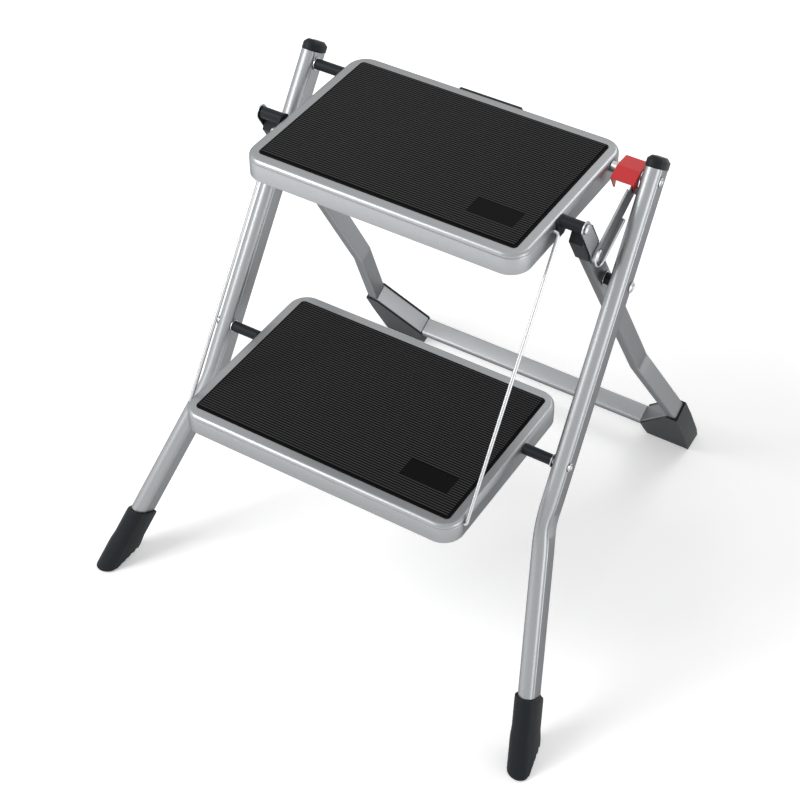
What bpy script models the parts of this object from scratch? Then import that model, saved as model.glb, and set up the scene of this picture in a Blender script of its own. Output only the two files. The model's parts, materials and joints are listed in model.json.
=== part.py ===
"""Folding step stool with two treads, at rest in its open position.

Dimensions are in millimetres and add_object turns them into metres.
The floor is z = 0, x runs across the stool and y runs to the rear.
Each leg frame has a side-view coordinate pair: s runs down the leg and
n runs square to it, to the rear. The front frame counts s from the top
axle, and the rear frame counts it from the scissor pivot.
"""

import math

import bpy
import numpy as np

MM = 0.001

# Fits
GAP = 0.3
HOLE_GAP = 0.3

# Top axle, and the lean of the two leg frames from the vertical
TOP_AXLE_Y = 72.9
TOP_AXLE_Z = 482.5
FRONT_LEAN = math.radians(33.55)
REAR_LEAN = math.radians(30.2)

# Treads; front and rear are distances from the tread's own axle
SHEET = 1.2
TOP_TREAD_HALF_WIDTH = 149.0
TOP_TREAD_FRONT = 175.7
TOP_TREAD_REAR = 29.3
TOP_DECK_UP = 7.4
LOWER_TREAD_HALF_WIDTH = TOP_TREAD_HALF_WIDTH + 6.6
LOWER_TREAD_FRONT = 136.17
LOWER_TREAD_REAR = 76.83
LOWER_DECK_UP = 6.44
SKIRT = 23.0
TREAD_CORNER = 21.0
TREAD_EDGE = 4.0
MAT_THICK = 2.0
MAT_LIFT = 0.05
TOP_MAT_SIDE_MARGIN = 11.4
LOWER_MAT_SIDE_MARGIN = 10.9
MAT_END_MARGIN = 11.75
MAT_CORNER = 4.5

# Front legs: a rounded nose and a flat-sided back
LEG_HALF_WIDTH = 8.6
LEG_NOSE_HALF_WIDTH = 8.1
LEG_BACK = 13.0
LEG_NOSE_START = -6.5
LEG_NOSE_DEPTH = 6.5
LEG_WALL = 1.4
LEG_TOP_S = -11.0
LEG_BEND_S = 344.0
LEG_FROM_TREAD = 41.0
LEG_TOP_X = TOP_TREAD_HALF_WIDTH + LEG_FROM_TREAD
LEG_BEND_OUT = 7.8
LEG_BEND_X = LEG_TOP_X + LEG_BEND_OUT
LEG_SPLAY = 0.24
LEG_BEND_RADIUS = 200.0
LEG_FLOOR_S = TOP_AXLE_Z / math.cos(FRONT_LEAN)
LEG_END_ABOVE_FLOOR = 25.0
LEG_END_S = LEG_FLOOR_S - LEG_END_ABOVE_FLOOR

# Leg caps and boots
CAP_TOP_S = -22.0
CAP_PLUG_S = -5.0
CAP_GROW = 0.3
CAP_CHAMFER = 2.9
BOOT_HEIGHT = 69.0
BOOT_TOP_S = LEG_FLOOR_S - BOOT_HEIGHT
BOOT_LIP = 2.5
BOOT_FLARE_HIGH = 39.0
BOOT_FLARE_LOW = 26.0
BOOT_HALF_WIDTH = 11.5
BOOT_HALF_DEPTH = 15.5
BOOT_FLARE = 1.09
SOLE_FLAT_Y = -252.0
SOLE_RISE = 0.3
SOLE_GROOVE = 2.2
SOLE_GROOVE_DEPTH = 1.5
SOLE_GROOVE_PITCH = 6.0

# Axles
AXLE_RADIUS = 4.0
LOWER_AXLE_S = 281.0
LOWER_AXLE_N = -4.6
AXLE_HEAD_RADIUS = 4.8
AXLE_HEAD = 1.3
AXLE_DIMPLE_RADIUS = 2.4
DIMPLE_DEPTH = 1.0
SLEEVE_RADIUS = 5.6
WASHER_RADIUS = 6.8
WASHER = 1.0

# Scissor pivot, measured from the top axle
SCISSOR_DY = -48.9
SCISSOR_DZ = -89.1
SCISSOR_PIN_RADIUS = 3.4
SCISSOR_HEAD_RADIUS = 5.6
SCISSOR_HEAD = 2.0
SCISSOR_DIMPLE_RADIUS = 2.6
SCISSOR_BUSH_RADIUS = 6.0
SCISSOR_WASHER_RADIUS = 7.8

# Rear frame: one bent rectangular tube, whose legs end below the links' top pivot
REAR_TUBE_WIDTH = 12.0
REAR_TUBE_DEPTH = 21.0
REAR_TUBE_WALL = 1.2
REAR_TUBE_CORNER = 2.6
LINK_RIVET_UP = 53.5
LINK_LENGTH = 55.2
LINK_TOP_UP = LINK_RIVET_UP + LINK_LENGTH
LINK_TOP_CLEARANCE = 18.7
REAR_TOP_S = LINK_TOP_CLEARANCE - LINK_TOP_UP
REAR_FROM_TREAD = 17.5
REAR_TOP_X = TOP_TREAD_HALF_WIDTH + REAR_FROM_TREAD
REAR_BEND_S = 220.0
REAR_BEND_OUT = 6.4
REAR_BEND_X = REAR_TOP_X + REAR_BEND_OUT
REAR_BEND_RADIUS = 40.0
REAR_FLOOR_S = (TOP_AXLE_Z + SCISSOR_DZ) / math.cos(REAR_LEAN)
REAR_KNEE_ABOVE_FLOOR = 104.2
REAR_KNEE_OUT = 30.4
REAR_KNEE_S = REAR_FLOOR_S - REAR_KNEE_ABOVE_FLOOR
REAR_KNEE_X = REAR_TOP_X + REAR_KNEE_OUT
REAR_BAR_ABOVE_FLOOR = 33.2
REAR_BAR_IN = 15.0
REAR_BAR_S = REAR_FLOOR_S - REAR_BAR_ABOVE_FLOOR
REAR_BAR_X = REAR_TOP_X - REAR_BAR_IN
REAR_KNEE_RADIUS = 16.0

# Rear feet and the caps on top of the rear legs
FOOT_HALF_DEPTH = 12.4
FOOT_OUTER_X = REAR_KNEE_X + 9.1
REAR_CAP_LOW = 60.0
REAR_CAP_X0 = TOP_TREAD_HALF_WIDTH + 11.0
REAR_CAP_X1 = TOP_TREAD_HALF_WIDTH + 25.1
REAR_CAP_N = 11.2

# Links between the top tread and the rear legs
LINK_X0 = REAR_CAP_X1 + GAP
LINK_THICK = 1.4
LINK_LOW_RADIUS = 8.5
LINK_HIGH_RADIUS = 7.5
LINK_SHANK_RADIUS = 3.2
LINK_HEAD_RADIUS = 6.5
LINK_HEAD = 2.0
STUD_HEAD_RADIUS = 5.0
BUSH_RADIUS = 5.8
BUSH_END_X = LINK_X0 - 0.5
SPIGOT_RADIUS = 2.4
SPIGOT_HEAD_RADIUS = 4.2
SPIGOT_DY = 0.6
SPIGOT_DZ = -12.0

# Lock strut and catch on the right side
STRUT_X0 = LINK_X0 + LINK_THICK + 0.4
STRUT_WEB = 1.1
STRUT_OUTER_X = STRUT_X0 + 4.4
STRUT_HALF = 11.0
STRUT_FLANGE = 1.2
CATCH_X0 = TOP_TREAD_HALF_WIDTH + 6.5
CATCH_X1 = TOP_TREAD_HALF_WIDTH + 30.7
CATCH_WALL = 2.0
CATCH_SLOT_RADIUS = AXLE_RADIUS + 0.6
CATCH_LIFT = math.radians(10.0)
CATCH_PIN_DY = -9.6
CATCH_PIN_DZ = -9.0
CATCH_PIN_RADIUS = 1.6
CATCH_PIN_HEAD_RADIUS = 2.8

# Rods that keep the lower tread level with the top one
ROD_RADIUS = 1.9
ROD_TOP_X = TOP_TREAD_HALF_WIDTH + 5.5
ROD_LOW_X = TOP_TREAD_HALF_WIDTH + 9.0
ROD_DY = -114.5
ROD_DZ = -1.0
ROD_TOP_BEND = 3.0
ROD_LOW_BEND = 2.1
ROD_TOP_END_X = TOP_TREAD_HALF_WIDTH - 6.0
ROD_LOW_END_X = TOP_TREAD_HALF_WIDTH

# Hand grip on the rear edge of the top tread
GRIP_HALF_WIDTH = 34.5

# A cutter reaches this far past the wall that it goes through
CUT_PAST = 12.0

PAINT = ("silver paint", (0.60, 0.61, 0.62), 0.6, 0.35)
BLACK = ("black plastic", (0.025, 0.027, 0.030), 0.0, 0.5)
RUBBER = ("black rubber", (0.020, 0.020, 0.021), 0.0, 0.75)
ZINC = ("zinc plate", (0.62, 0.63, 0.63), 1.0, 0.3)
RED = ("red plastic", (0.70, 0.035, 0.035), 0.0, 0.45)


def front_point(s, n=0.0, x=0.0):
    """The point s down the front leg line and n behind it."""
    y = TOP_AXLE_Y - s * math.sin(FRONT_LEAN) + n * math.cos(FRONT_LEAN)
    z = TOP_AXLE_Z - s * math.cos(FRONT_LEAN) - n * math.sin(FRONT_LEAN)
    return np.array([x, y, z])


def rear_point(s, n=0.0, x=0.0):
    """The point s down the rear leg line and n behind it."""
    y = TOP_AXLE_Y + SCISSOR_DY + s * math.sin(REAR_LEAN) + n * math.cos(REAR_LEAN)
    z = TOP_AXLE_Z + SCISSOR_DZ - s * math.cos(REAR_LEAN) + n * math.sin(REAR_LEAN)
    return np.array([x, y, z])


def signed_volume(points, faces):
    """Six times the volume that the faces hold, negative if they face inwards."""
    total = 0.0
    for face in faces:
        for i in range(1, len(face) - 1):
            a, b, c = points[face[0]], points[face[i]], points[face[i + 1]]
            total += float(np.dot(a, np.cross(b, c)))
    return total


def loft(rings, closed=False):
    """Points and faces of a body through rings of equal point count.

    A closed loft joins its last ring to its first, for a hollow tube.
    Otherwise the two end rings are filled.
    """
    count = len(rings[0])
    points = np.concatenate(rings)
    faces = []
    last = len(rings) if closed else len(rings) - 1
    for i in range(last):
        low = i * count
        high = ((i + 1) % len(rings)) * count
        for j in range(count):
            k = (j + 1) % count
            faces.append([low + j, low + k, high + k, high + j])
    if not closed:
        faces.append(list(range(count))[::-1])
        faces.append([(len(rings) - 1) * count + j for j in range(count)])
    if signed_volume(points, faces) < 0:
        faces = [face[::-1] for face in faces]
    return points, faces


def merge(*bodies):
    """Several bodies as one mesh, for cutters that don't touch one another."""
    points = []
    faces = []
    offset = 0
    for body_points, body_faces in bodies:
        points.append(body_points)
        faces += [[offset + i for i in face] for face in body_faces]
        offset += len(body_points)
    return np.concatenate(points), faces


def prism_x(outline, x0, x1):
    """A side-view outline of (y, z) points carried from x0 to x1."""
    rings = [np.array([[x, y, z] for y, z in outline]) for x in (x0, x1)]
    return loft(rings)


def lathe_x(centre, profile, segments=20):
    """A body turned about an x-axis line, from (x, radius) pairs."""
    angles = np.linspace(0.0, 2.0 * math.pi, segments, endpoint=False)
    rings = []
    for x, radius in profile:
        ys = centre[1] + radius * np.cos(angles)
        zs = centre[2] + radius * np.sin(angles)
        rings.append(np.stack([np.full(segments, x), ys, zs], axis=1))
    return loft(rings)


def ring_x(centre, x0, x1, radius, hole, segments=20):
    """A washer or sleeve about an x-axis line."""
    angles = np.linspace(0.0, 2.0 * math.pi, segments, endpoint=False)
    rings = []
    for x, r in ((x0, radius), (x1, radius), (x1, hole), (x0, hole)):
        ys = centre[1] + r * np.cos(angles)
        zs = centre[2] + r * np.sin(angles)
        rings.append(np.stack([np.full(segments, x), ys, zs], axis=1))
    return loft(rings, closed=True)


def drill_x(centre, x0, x1, radius, segments=20):
    """A cutter for a round hole along x."""
    return lathe_x(centre, [(x0, radius), (x1, radius)], segments)


def drill_sides(centre, x, radius):
    """Cutters for the same round hole through the right and the left wall at x."""
    right = drill_x(centre, x - CUT_PAST, x + CUT_PAST, radius)
    left = drill_x(centre, -x - CUT_PAST, -x + CUT_PAST, radius)
    return merge(right, left)


def side_outline(origin, along, pairs):
    """Side-view (y, z) points from (along, across) pairs counted from an origin."""
    up = np.array([-along[2], along[1]])
    start = np.array(origin[1:])
    return [tuple(start + a * np.array(along[1:]) + c * up) for a, c in pairs]


def round_end(radius, steps=10):
    """A strip's round lower end, as (along, across) pairs from its top edge."""
    pairs = []
    for k in range(steps + 1):
        angle = math.pi * (0.5 + k / steps)
        pairs.append((radius * math.cos(angle), radius * math.sin(angle)))
    return pairs


def arc_points(centre, radius, first, last, steps):
    """Points of an arc in the side view, with its end angles in degrees."""
    found = []
    for k in range(steps + 1):
        angle = math.radians(first + (last - first) * k / steps)
        found.append((centre[0] + radius * math.cos(angle), centre[1] + radius * math.sin(angle)))
    return found


def fillet(points, radii, steps=5):
    """A path with its inner corners rounded; radii holds one value per corner."""
    path = [np.array(points[0], float)]
    for i in range(1, len(points) - 1):
        corner = np.array(points[i], float)
        before = np.array(points[i - 1], float) - corner
        after = np.array(points[i + 1], float) - corner
        before /= np.linalg.norm(before)
        after /= np.linalg.norm(after)
        turn = math.pi - math.acos(np.clip(np.dot(before, after), -1.0, 1.0))
        reach = radii[i - 1] * math.tan(turn / 2.0)
        inward = before + after
        inward /= np.linalg.norm(inward)
        centre = corner + inward * radii[i - 1] / math.cos(turn / 2.0)
        start = corner + before * reach - centre
        end = corner + after * reach - centre
        for k in range(steps + 1):
            t = k / steps
            weight_a = math.sin((1.0 - t) * turn) / math.sin(turn)
            weight_b = math.sin(t * turn) / math.sin(turn)
            path.append(centre + weight_a * start + weight_b * end)
    path.append(np.array(points[-1], float))
    return np.array(path)


def tangents(path):
    """Unit directions along a path, the mean of both sides at inner points."""
    steps = np.diff(path, axis=0)
    steps /= np.linalg.norm(steps, axis=1)[:, None]
    mean = np.concatenate([steps[:1], steps[:-1] + steps[1:], steps[-1:]])
    return mean / np.linalg.norm(mean, axis=1)[:, None]


def planar_rings(path, place, section):
    """Section rings along a path of (x, s) points in a leg frame's plane.

    place turns (s, n, x) into a point, and section holds (across, n) pairs.
    """
    rings = []
    for (x, s), (tx, ts) in zip(path, tangents(path)):
        ring = [place(s - a * tx, n, x + a * ts) for a, n in section]
        rings.append(np.array(ring))
    return rings


def hollow(path, place, outer, inner):
    """An open-ended tube along a path."""
    outside = planar_rings(path, place, outer)
    inside = planar_rings(path, place, inner)
    return loft(outside + inside[::-1], closed=True)


def wire(path, radius, segments=12):
    """A round wire along a path of points."""
    directions = tangents(path)
    side = np.cross(directions[0], [0.1, 0.9, 0.4])
    side /= np.linalg.norm(side)
    angles = np.linspace(0.0, 2.0 * math.pi, segments, endpoint=False)
    rings = []
    for point, along in zip(path, directions):
        side = side - along * np.dot(side, along)
        side /= np.linalg.norm(side)
        other = np.cross(along, side)
        ring = [point + radius * (math.cos(t) * side + math.sin(t) * other) for t in angles]
        rings.append(np.array(ring))
    return loft(rings)


def rounded_rectangle(half_x, half_y, radius, steps=6):
    """Corner-rounded outline about the origin."""
    points = []
    corners = ((1, 1, 0.0), (-1, 1, 0.5), (-1, -1, 1.0), (1, -1, 1.5))
    for sx, sy, start in corners:
        for k in range(steps + 1):
            angle = (start + 0.5 * k / steps) * math.pi
            x = sx * (half_x - radius) + radius * math.cos(angle)
            y = sy * (half_y - radius) + radius * math.sin(angle)
            points.append((x, y))
    return points


def flipped(body, side):
    """The body on the right side, or its mirror image on the left."""
    points, faces = body
    if side > 0:
        return points, faces
    return points * np.array([-1.0, 1.0, 1.0]), [face[::-1] for face in faces]


def material(finish):
    """The material of a finish, made once."""
    name, colour, metallic, roughness = finish
    found = bpy.data.materials.get(name)
    if found is None:
        found = bpy.data.materials.new(name)
        found.use_nodes = True
        shader = found.node_tree.nodes["Principled BSDF"]
        shader.inputs["Base Color"].default_value = (*colour, 1.0)
        shader.inputs["Metallic"].default_value = metallic
        shader.inputs["Roughness"].default_value = roughness
        found.diffuse_color = (*colour, 1.0)
    return found


def sole_z(y):
    """Height of a boot's sole, which is flat in front and rises to its heel."""
    return max(0.0, SOLE_RISE * (y - SOLE_FLAT_Y))


def add_pivot(name, place, carrier=None):
    """An empty on a joint's axis, which another pivot's empty may carry."""
    parent, parent_place = pivots[carrier]
    empty = bpy.data.objects.new(name, None)
    bpy.context.scene.collection.objects.link(empty)
    empty.parent = parent
    empty.location = (place - parent_place) * MM
    pivots[name] = (empty, place)


def add_object(name, body, pivot=None):
    """A mesh object of a body in metres, with its origin at its pivot."""
    points, faces = body
    parent, place = pivots[pivot]
    mesh = bpy.data.meshes.new(name)
    mesh.from_pydata(((points - place) * MM).tolist(), [], faces)
    mesh.validate()
    found = bpy.data.objects.new(name, mesh)
    bpy.context.scene.collection.objects.link(found)
    found.parent = parent
    return found


def add_node(name, body, finish, side=1, pivot=None, cuts=(), joins=(), smooth=True):
    """One physical piece, with what is joined to it and what is cut from it."""
    node = add_object(name, flipped(body, side), pivot)
    node.data.materials.append(material(finish))
    steps = [("UNION", helper_body) for helper_body in joins]
    steps += [("DIFFERENCE", helper_body) for helper_body in cuts]
    for number, (operation, helper_body) in enumerate(steps):
        label = "%s_%s_%d" % (name, operation.lower(), number)
        helper = add_object(label, flipped(helper_body, side), pivot)
        helper.hide_render = True
        helper.display_type = "WIRE"
        modifier = node.modifiers.new(label, "BOOLEAN")
        modifier.operation = operation
        modifier.solver = "EXACT"
        modifier.object = helper
    if smooth:
        node.data.shade_smooth()
        node.data.set_sharp_from_angle(angle=math.radians(35.0))
    return node


def leg_section(grow=0.0):
    """The front leg's outline as (across, n), nose forward."""
    scale_x = (LEG_HALF_WIDTH + grow) / LEG_HALF_WIDTH
    scale_n = (LEG_BACK + grow) / LEG_BACK
    points = []
    for k in range(9):
        angle = math.pi * k / 8.0
        across = LEG_NOSE_HALF_WIDTH * math.cos(angle)
        points.append((across, LEG_NOSE_START - LEG_NOSE_DEPTH * math.sin(angle)))
    points.append((-LEG_HALF_WIDTH, LEG_NOSE_START + 0.8))
    points.append((-LEG_HALF_WIDTH, LEG_BACK - 2.0))
    points.append((-LEG_HALF_WIDTH + 0.6, LEG_BACK - 0.6))
    points.append((-LEG_HALF_WIDTH + 2.0, LEG_BACK))
    points.append((LEG_HALF_WIDTH - 2.0, LEG_BACK))
    points.append((LEG_HALF_WIDTH - 0.6, LEG_BACK - 0.6))
    points.append((LEG_HALF_WIDTH, LEG_BACK - 2.0))
    points.append((LEG_HALF_WIDTH, LEG_NOSE_START + 0.8))
    return [(a * scale_x, n * scale_n) for a, n in points]


def leg_x(s):
    """Centre of the right front leg above its bend."""
    return LEG_TOP_X + (LEG_BEND_X - LEG_TOP_X) * s / LEG_BEND_S


def leg_path(s0, s1):
    """The right front leg's centre line between two depths."""
    splayed = [LEG_BEND_X + (s1 - LEG_BEND_S) * LEG_SPLAY, s1]
    if s0 >= LEG_BEND_S:
        return np.array([[LEG_BEND_X + (s0 - LEG_BEND_S) * LEG_SPLAY, s0], splayed])
    if s1 <= LEG_BEND_S:
        return np.array([[leg_x(s0), s0], [leg_x(s1), s1]])
    ends = [[leg_x(s0), s0], [LEG_BEND_X, LEG_BEND_S], splayed]
    return fillet(ends, [LEG_BEND_RADIUS])


def tube_section(grow):
    """The rear tube's outline as (across, n), grown or shrunk on all sides."""
    half_width = REAR_TUBE_WIDTH / 2.0 + grow
    half_depth = REAR_TUBE_DEPTH / 2.0 + grow
    return rounded_rectangle(half_width, half_depth, REAR_TUBE_CORNER + grow, steps=2)


def rear_leg_x(s):
    """Centre of the right rear leg above its bend."""
    slope = (REAR_BEND_X - REAR_TOP_X) / (REAR_BEND_S - REAR_TOP_S)
    return REAR_TOP_X + slope * (s - REAR_TOP_S)


def rear_half_path():
    """The right half of the rear frame's centre line, from its top."""
    return [
        [REAR_TOP_X, REAR_TOP_S],
        [REAR_BEND_X, REAR_BEND_S],
        [REAR_KNEE_X, REAR_KNEE_S],
        [REAR_BAR_X, REAR_BAR_S],
    ]


def rear_path():
    """The rear frame's whole centre line, from one top end to the other."""
    right = rear_half_path()
    left = [[-x, s] for x, s in right[::-1]]
    bends = [REAR_BEND_RADIUS, REAR_KNEE_RADIUS, REAR_KNEE_RADIUS]
    return fillet(right + left, bends + bends[::-1], steps=3)


def middle_and_half(y_range):
    """Middle and half depth of a tread or mat."""
    return 0.5 * (y_range[0] + y_range[1]), 0.5 * (y_range[1] - y_range[0])


def pan(half_width, y_range, deck_z):
    """A pressed sheet pan: deck, rounded edge and skirt, open underneath."""
    middle, half_depth = middle_and_half(y_range)

    def ring(inset, z):
        radius = TREAD_CORNER - inset
        outline = rounded_rectangle(half_width - inset, half_depth - inset, radius)
        return np.array([[x, middle + y, z] for x, y in outline])

    bottom = deck_z - SKIRT
    rings = [ring(TREAD_EDGE + 0.6, deck_z - SHEET)]
    rings.append(ring(SHEET + 0.9, deck_z - SHEET - 0.9))
    rings.append(ring(SHEET, deck_z - TREAD_EDGE))
    rings.append(ring(SHEET, bottom))
    rings.append(ring(0.0, bottom))
    rings.append(ring(0.0, deck_z - TREAD_EDGE - 0.8))
    rings.append(ring(0.25, deck_z - TREAD_EDGE))
    for k in (1, 2, 3, 4):
        angle = math.radians(90.0 * k / 4.0)
        inset = 0.25 + (TREAD_EDGE - 0.25) * (1.0 - math.cos(angle))
        z = deck_z - TREAD_EDGE + TREAD_EDGE * math.sin(angle)
        rings.append(ring(inset, z))
    return loft(rings)


def mat(half_width, y_range, deck_z):
    """A flat rubber mat with a small bevel round its top."""
    middle, half_depth = middle_and_half(y_range)
    rings = []
    low = deck_z + MAT_LIFT
    high = deck_z + MAT_THICK
    for inset, z in ((0.0, low), (0.0, high - 0.5), (0.5, high)):
        outline = rounded_rectangle(
            half_width - inset, half_depth - inset, MAT_CORNER - inset, steps=4
        )
        rings.append(np.array([[x, middle + y, z] for x, y in outline]))
    return loft(rings)


for old in list(bpy.data.objects):
    bpy.data.objects.remove(old)

top_axle = front_point(0.0)
lower_axle = front_point(LOWER_AXLE_S, LOWER_AXLE_N)
scissor = rear_point(0.0)
link_low = rear_point(-LINK_RIVET_UP)
link_high = rear_point(-LINK_RIVET_UP - LINK_LENGTH)
top_hook = top_axle + np.array([0.0, ROD_DY, ROD_DZ])
lower_hook = lower_axle + np.array([0.0, ROD_DY, ROD_DZ])
scissor_s = -(SCISSOR_DY * math.sin(FRONT_LEAN) + SCISSOR_DZ * math.cos(FRONT_LEAN))
catch_pin = top_axle + np.array([0.0, CATCH_PIN_DY, CATCH_PIN_DZ])
spigot_centre = link_high + np.array([0.0, SPIGOT_DY, SPIGOT_DZ])
top_tread_y = (top_axle[1] - TOP_TREAD_FRONT, top_axle[1] + TOP_TREAD_REAR)
lower_tread_y = (lower_axle[1] - LOWER_TREAD_FRONT, lower_axle[1] + LOWER_TREAD_REAR)
top_deck_z = top_axle[2] + TOP_DECK_UP
lower_deck_z = lower_axle[2] + LOWER_DECK_UP
side_names = ((1, "right"), (-1, "left"))

# Empties on the joints' axes; the front frame stands still and has none
pivots = {None: (None, np.zeros(3))}
add_pivot("fold_pivot", top_axle)
add_pivot("lower_step_pivot", lower_axle)
add_pivot("rear_leg_pivot", scissor)
for _, word in side_names:
    add_pivot("rod_pivot_" + word, top_hook, "fold_pivot")
    add_pivot("link_pivot_" + word, link_low, "rear_leg_pivot")
add_pivot("strut_pivot", link_low, "rear_leg_pivot")
add_pivot("catch_pivot", catch_pin, "strut_pivot")

# Front frame
bore = AXLE_RADIUS + HOLE_GAP
pin_bore = SCISSOR_PIN_RADIUS + HOLE_GAP
for side, word in side_names:
    outer = leg_section()
    inner = leg_section(-LEG_WALL)
    tube = hollow(leg_path(LEG_TOP_S, LEG_END_S), front_point, outer, inner)
    holes = merge(
        drill_x(top_axle, leg_x(0.0) - 20.0, leg_x(0.0) + 20.0, bore),
        drill_x(lower_axle, leg_x(LOWER_AXLE_S) - 20.0, leg_x(LOWER_AXLE_S) + 20.0, bore),
        drill_x(scissor, leg_x(scissor_s) - 20.0, leg_x(scissor_s) + 20.0, pin_bore),
    )
    add_node("front_leg_" + word, tube, PAINT, side, cuts=[holes])

    plug = leg_section(-LEG_WALL - GAP)
    base_s = LEG_TOP_S - GAP
    cap_rings = []
    for s, section in (
        (CAP_PLUG_S, plug),
        (base_s, plug),
        (base_s, leg_section(CAP_GROW)),
        (CAP_TOP_S + CAP_CHAMFER + 0.5, leg_section(CAP_GROW)),
        (CAP_TOP_S, leg_section(CAP_GROW - CAP_CHAMFER)),
    ):
        cap_rings.append(np.array([front_point(s, n, leg_x(s) + a) for a, n in section]))
    add_node("leg_cap_" + word, loft(cap_rings), BLACK, side)

    boot_rings = []
    grow_x = BOOT_HALF_WIDTH / LEG_HALF_WIDTH
    grow_n = BOOT_HALF_DEPTH / LEG_BACK
    for s, scale in (
        (BOOT_TOP_S, 0.96),
        (BOOT_TOP_S + BOOT_LIP, 1.0),
        (LEG_FLOOR_S - BOOT_FLARE_HIGH, 1.02),
        (LEG_FLOOR_S - BOOT_FLARE_LOW, BOOT_FLARE),
        (LEG_FLOOR_S + 27.0, BOOT_FLARE),
    ):
        x = LEG_BEND_X + (s - LEG_BEND_S) * LEG_SPLAY
        section = [(a * grow_x * scale, n * grow_n * scale) for a, n in leg_section()]
        boot_rings.append(np.array([front_point(s, n, x + a) for a, n in section]))
    socket_path = leg_path(BOOT_TOP_S - 12.0, LEG_END_S + GAP)
    socket = loft(planar_rings(socket_path, front_point, leg_section(GAP)))
    under_sole = [(SOLE_FLAT_Y - 60.0, 0.0), (SOLE_FLAT_Y - 60.0, -80.0), (-150.0, -80.0)]
    under_sole.append((-150.0, sole_z(-150.0)))
    for k in (4, 3, 2, 1):
        rear_y = SOLE_FLAT_Y + SOLE_GROOVE_PITCH * k
        front_y = rear_y - SOLE_GROOVE
        under_sole.append((rear_y, sole_z(rear_y)))
        under_sole.append((rear_y, sole_z(rear_y) + SOLE_GROOVE_DEPTH))
        under_sole.append((front_y, sole_z(front_y) + SOLE_GROOVE_DEPTH))
        under_sole.append((front_y, sole_z(front_y)))
    under_sole.append((SOLE_FLAT_Y, 0.0))
    under = prism_x(under_sole, LEG_BEND_X - 40.0, LEG_BEND_X + 120.0)
    add_node("leg_boot_" + word, loft(boot_rings), BLACK, side, cuts=[socket, under])

# Axles, with a head outside each leg
for name, centre, s in (("top_axle", top_axle, 0.0), ("lower_axle", lower_axle, LOWER_AXLE_S)):
    face = leg_x(s) + LEG_HALF_WIDTH + GAP
    end = face + AXLE_HEAD
    half = [
        (face, AXLE_RADIUS),
        (face, AXLE_HEAD_RADIUS),
        (end - 0.7, AXLE_HEAD_RADIUS),
        (end, AXLE_HEAD_RADIUS - 0.9),
        (end, AXLE_DIMPLE_RADIUS),
        (end - DIMPLE_DEPTH, AXLE_DIMPLE_RADIUS - 0.6),
    ]
    profile = [(-x, radius) for x, radius in half[::-1]] + half
    add_node(name, lathe_x(centre, profile), ZINC)

# Sleeves and washers between the treads and the legs
lower_face = leg_x(LOWER_AXLE_S) - LEG_HALF_WIDTH - GAP
top_face = leg_x(0.0) - LEG_HALF_WIDTH - GAP
for side, word in side_names:
    start = LOWER_TREAD_HALF_WIDTH + GAP
    end = lower_face - WASHER - GAP
    sleeve = ring_x(lower_axle, start, end, SLEEVE_RADIUS, bore)
    add_node("lower_sleeve_" + word, sleeve, BLACK, side)
    washer = ring_x(lower_axle, lower_face - WASHER, lower_face, WASHER_RADIUS, bore)
    add_node("lower_washer_" + word, washer, ZINC, side)
start = TOP_TREAD_HALF_WIDTH + GAP
end = top_face - WASHER - GAP
add_node("top_sleeve_left", ring_x(top_axle, start, end, SLEEVE_RADIUS, bore), BLACK, -1)
washer = ring_x(top_axle, top_face - WASHER, top_face, WASHER_RADIUS, bore)
add_node("top_washer_left", washer, ZINC, -1)
spacer = ring_x(top_axle, start, CATCH_X0 - GAP, SLEEVE_RADIUS, bore)
add_node("top_spacer_inner_right", spacer, ZINC)
spacer = ring_x(top_axle, CATCH_X1 + GAP, top_face, SLEEVE_RADIUS, bore)
add_node("top_spacer_outer_right", spacer, ZINC)

# Scissor pivots between the two leg frames
for side, word in side_names:
    rear_inner = rear_leg_x(0.0) - REAR_TUBE_WIDTH / 2.0
    rear_outer = rear_leg_x(0.0) + REAR_TUBE_WIDTH / 2.0
    front_inner = leg_x(scissor_s) - LEG_HALF_WIDTH
    front_outer = leg_x(scissor_s) + LEG_HALF_WIDTH
    low = rear_inner - GAP
    high = front_outer + GAP
    profile = [
        (low - 1.2, SCISSOR_HEAD_RADIUS - 0.8),
        (low - 0.5, SCISSOR_HEAD_RADIUS),
        (low, SCISSOR_HEAD_RADIUS),
        (low, SCISSOR_PIN_RADIUS),
        (high, SCISSOR_PIN_RADIUS),
        (high, SCISSOR_HEAD_RADIUS),
        (high + SCISSOR_HEAD - 1.2, SCISSOR_HEAD_RADIUS),
        (high + SCISSOR_HEAD, SCISSOR_HEAD_RADIUS - 1.8),
        (high + SCISSOR_HEAD, SCISSOR_DIMPLE_RADIUS),
        (high + SCISSOR_HEAD - DIMPLE_DEPTH, SCISSOR_DIMPLE_RADIUS - 0.6),
    ]
    add_node("scissor_pin_" + word, lathe_x(scissor, profile), ZINC, side)
    start = rear_outer + GAP
    end = start + WASHER
    washer = ring_x(scissor, start, end, SCISSOR_WASHER_RADIUS, pin_bore)
    add_node("scissor_washer_" + word, washer, ZINC, side)
    bush = ring_x(scissor, end + GAP, front_inner - GAP, SCISSOR_BUSH_RADIUS, pin_bore)
    add_node("scissor_bush_" + word, bush, BLACK, side)

# Rear frame
outer = tube_section(0.0)
inner = tube_section(-REAR_TUBE_WALL)
frame_tube = hollow(rear_path(), rear_point, outer, inner)
shank_bore = LINK_SHANK_RADIUS + HOLE_GAP
holes = merge(
    drill_sides(scissor, rear_leg_x(0.0), pin_bore),
    drill_sides(link_low, rear_leg_x(-LINK_RIVET_UP), shank_bore),
)
add_node("rear_frame", frame_tube, PAINT, pivot="rear_leg_pivot", cuts=[holes])

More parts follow.
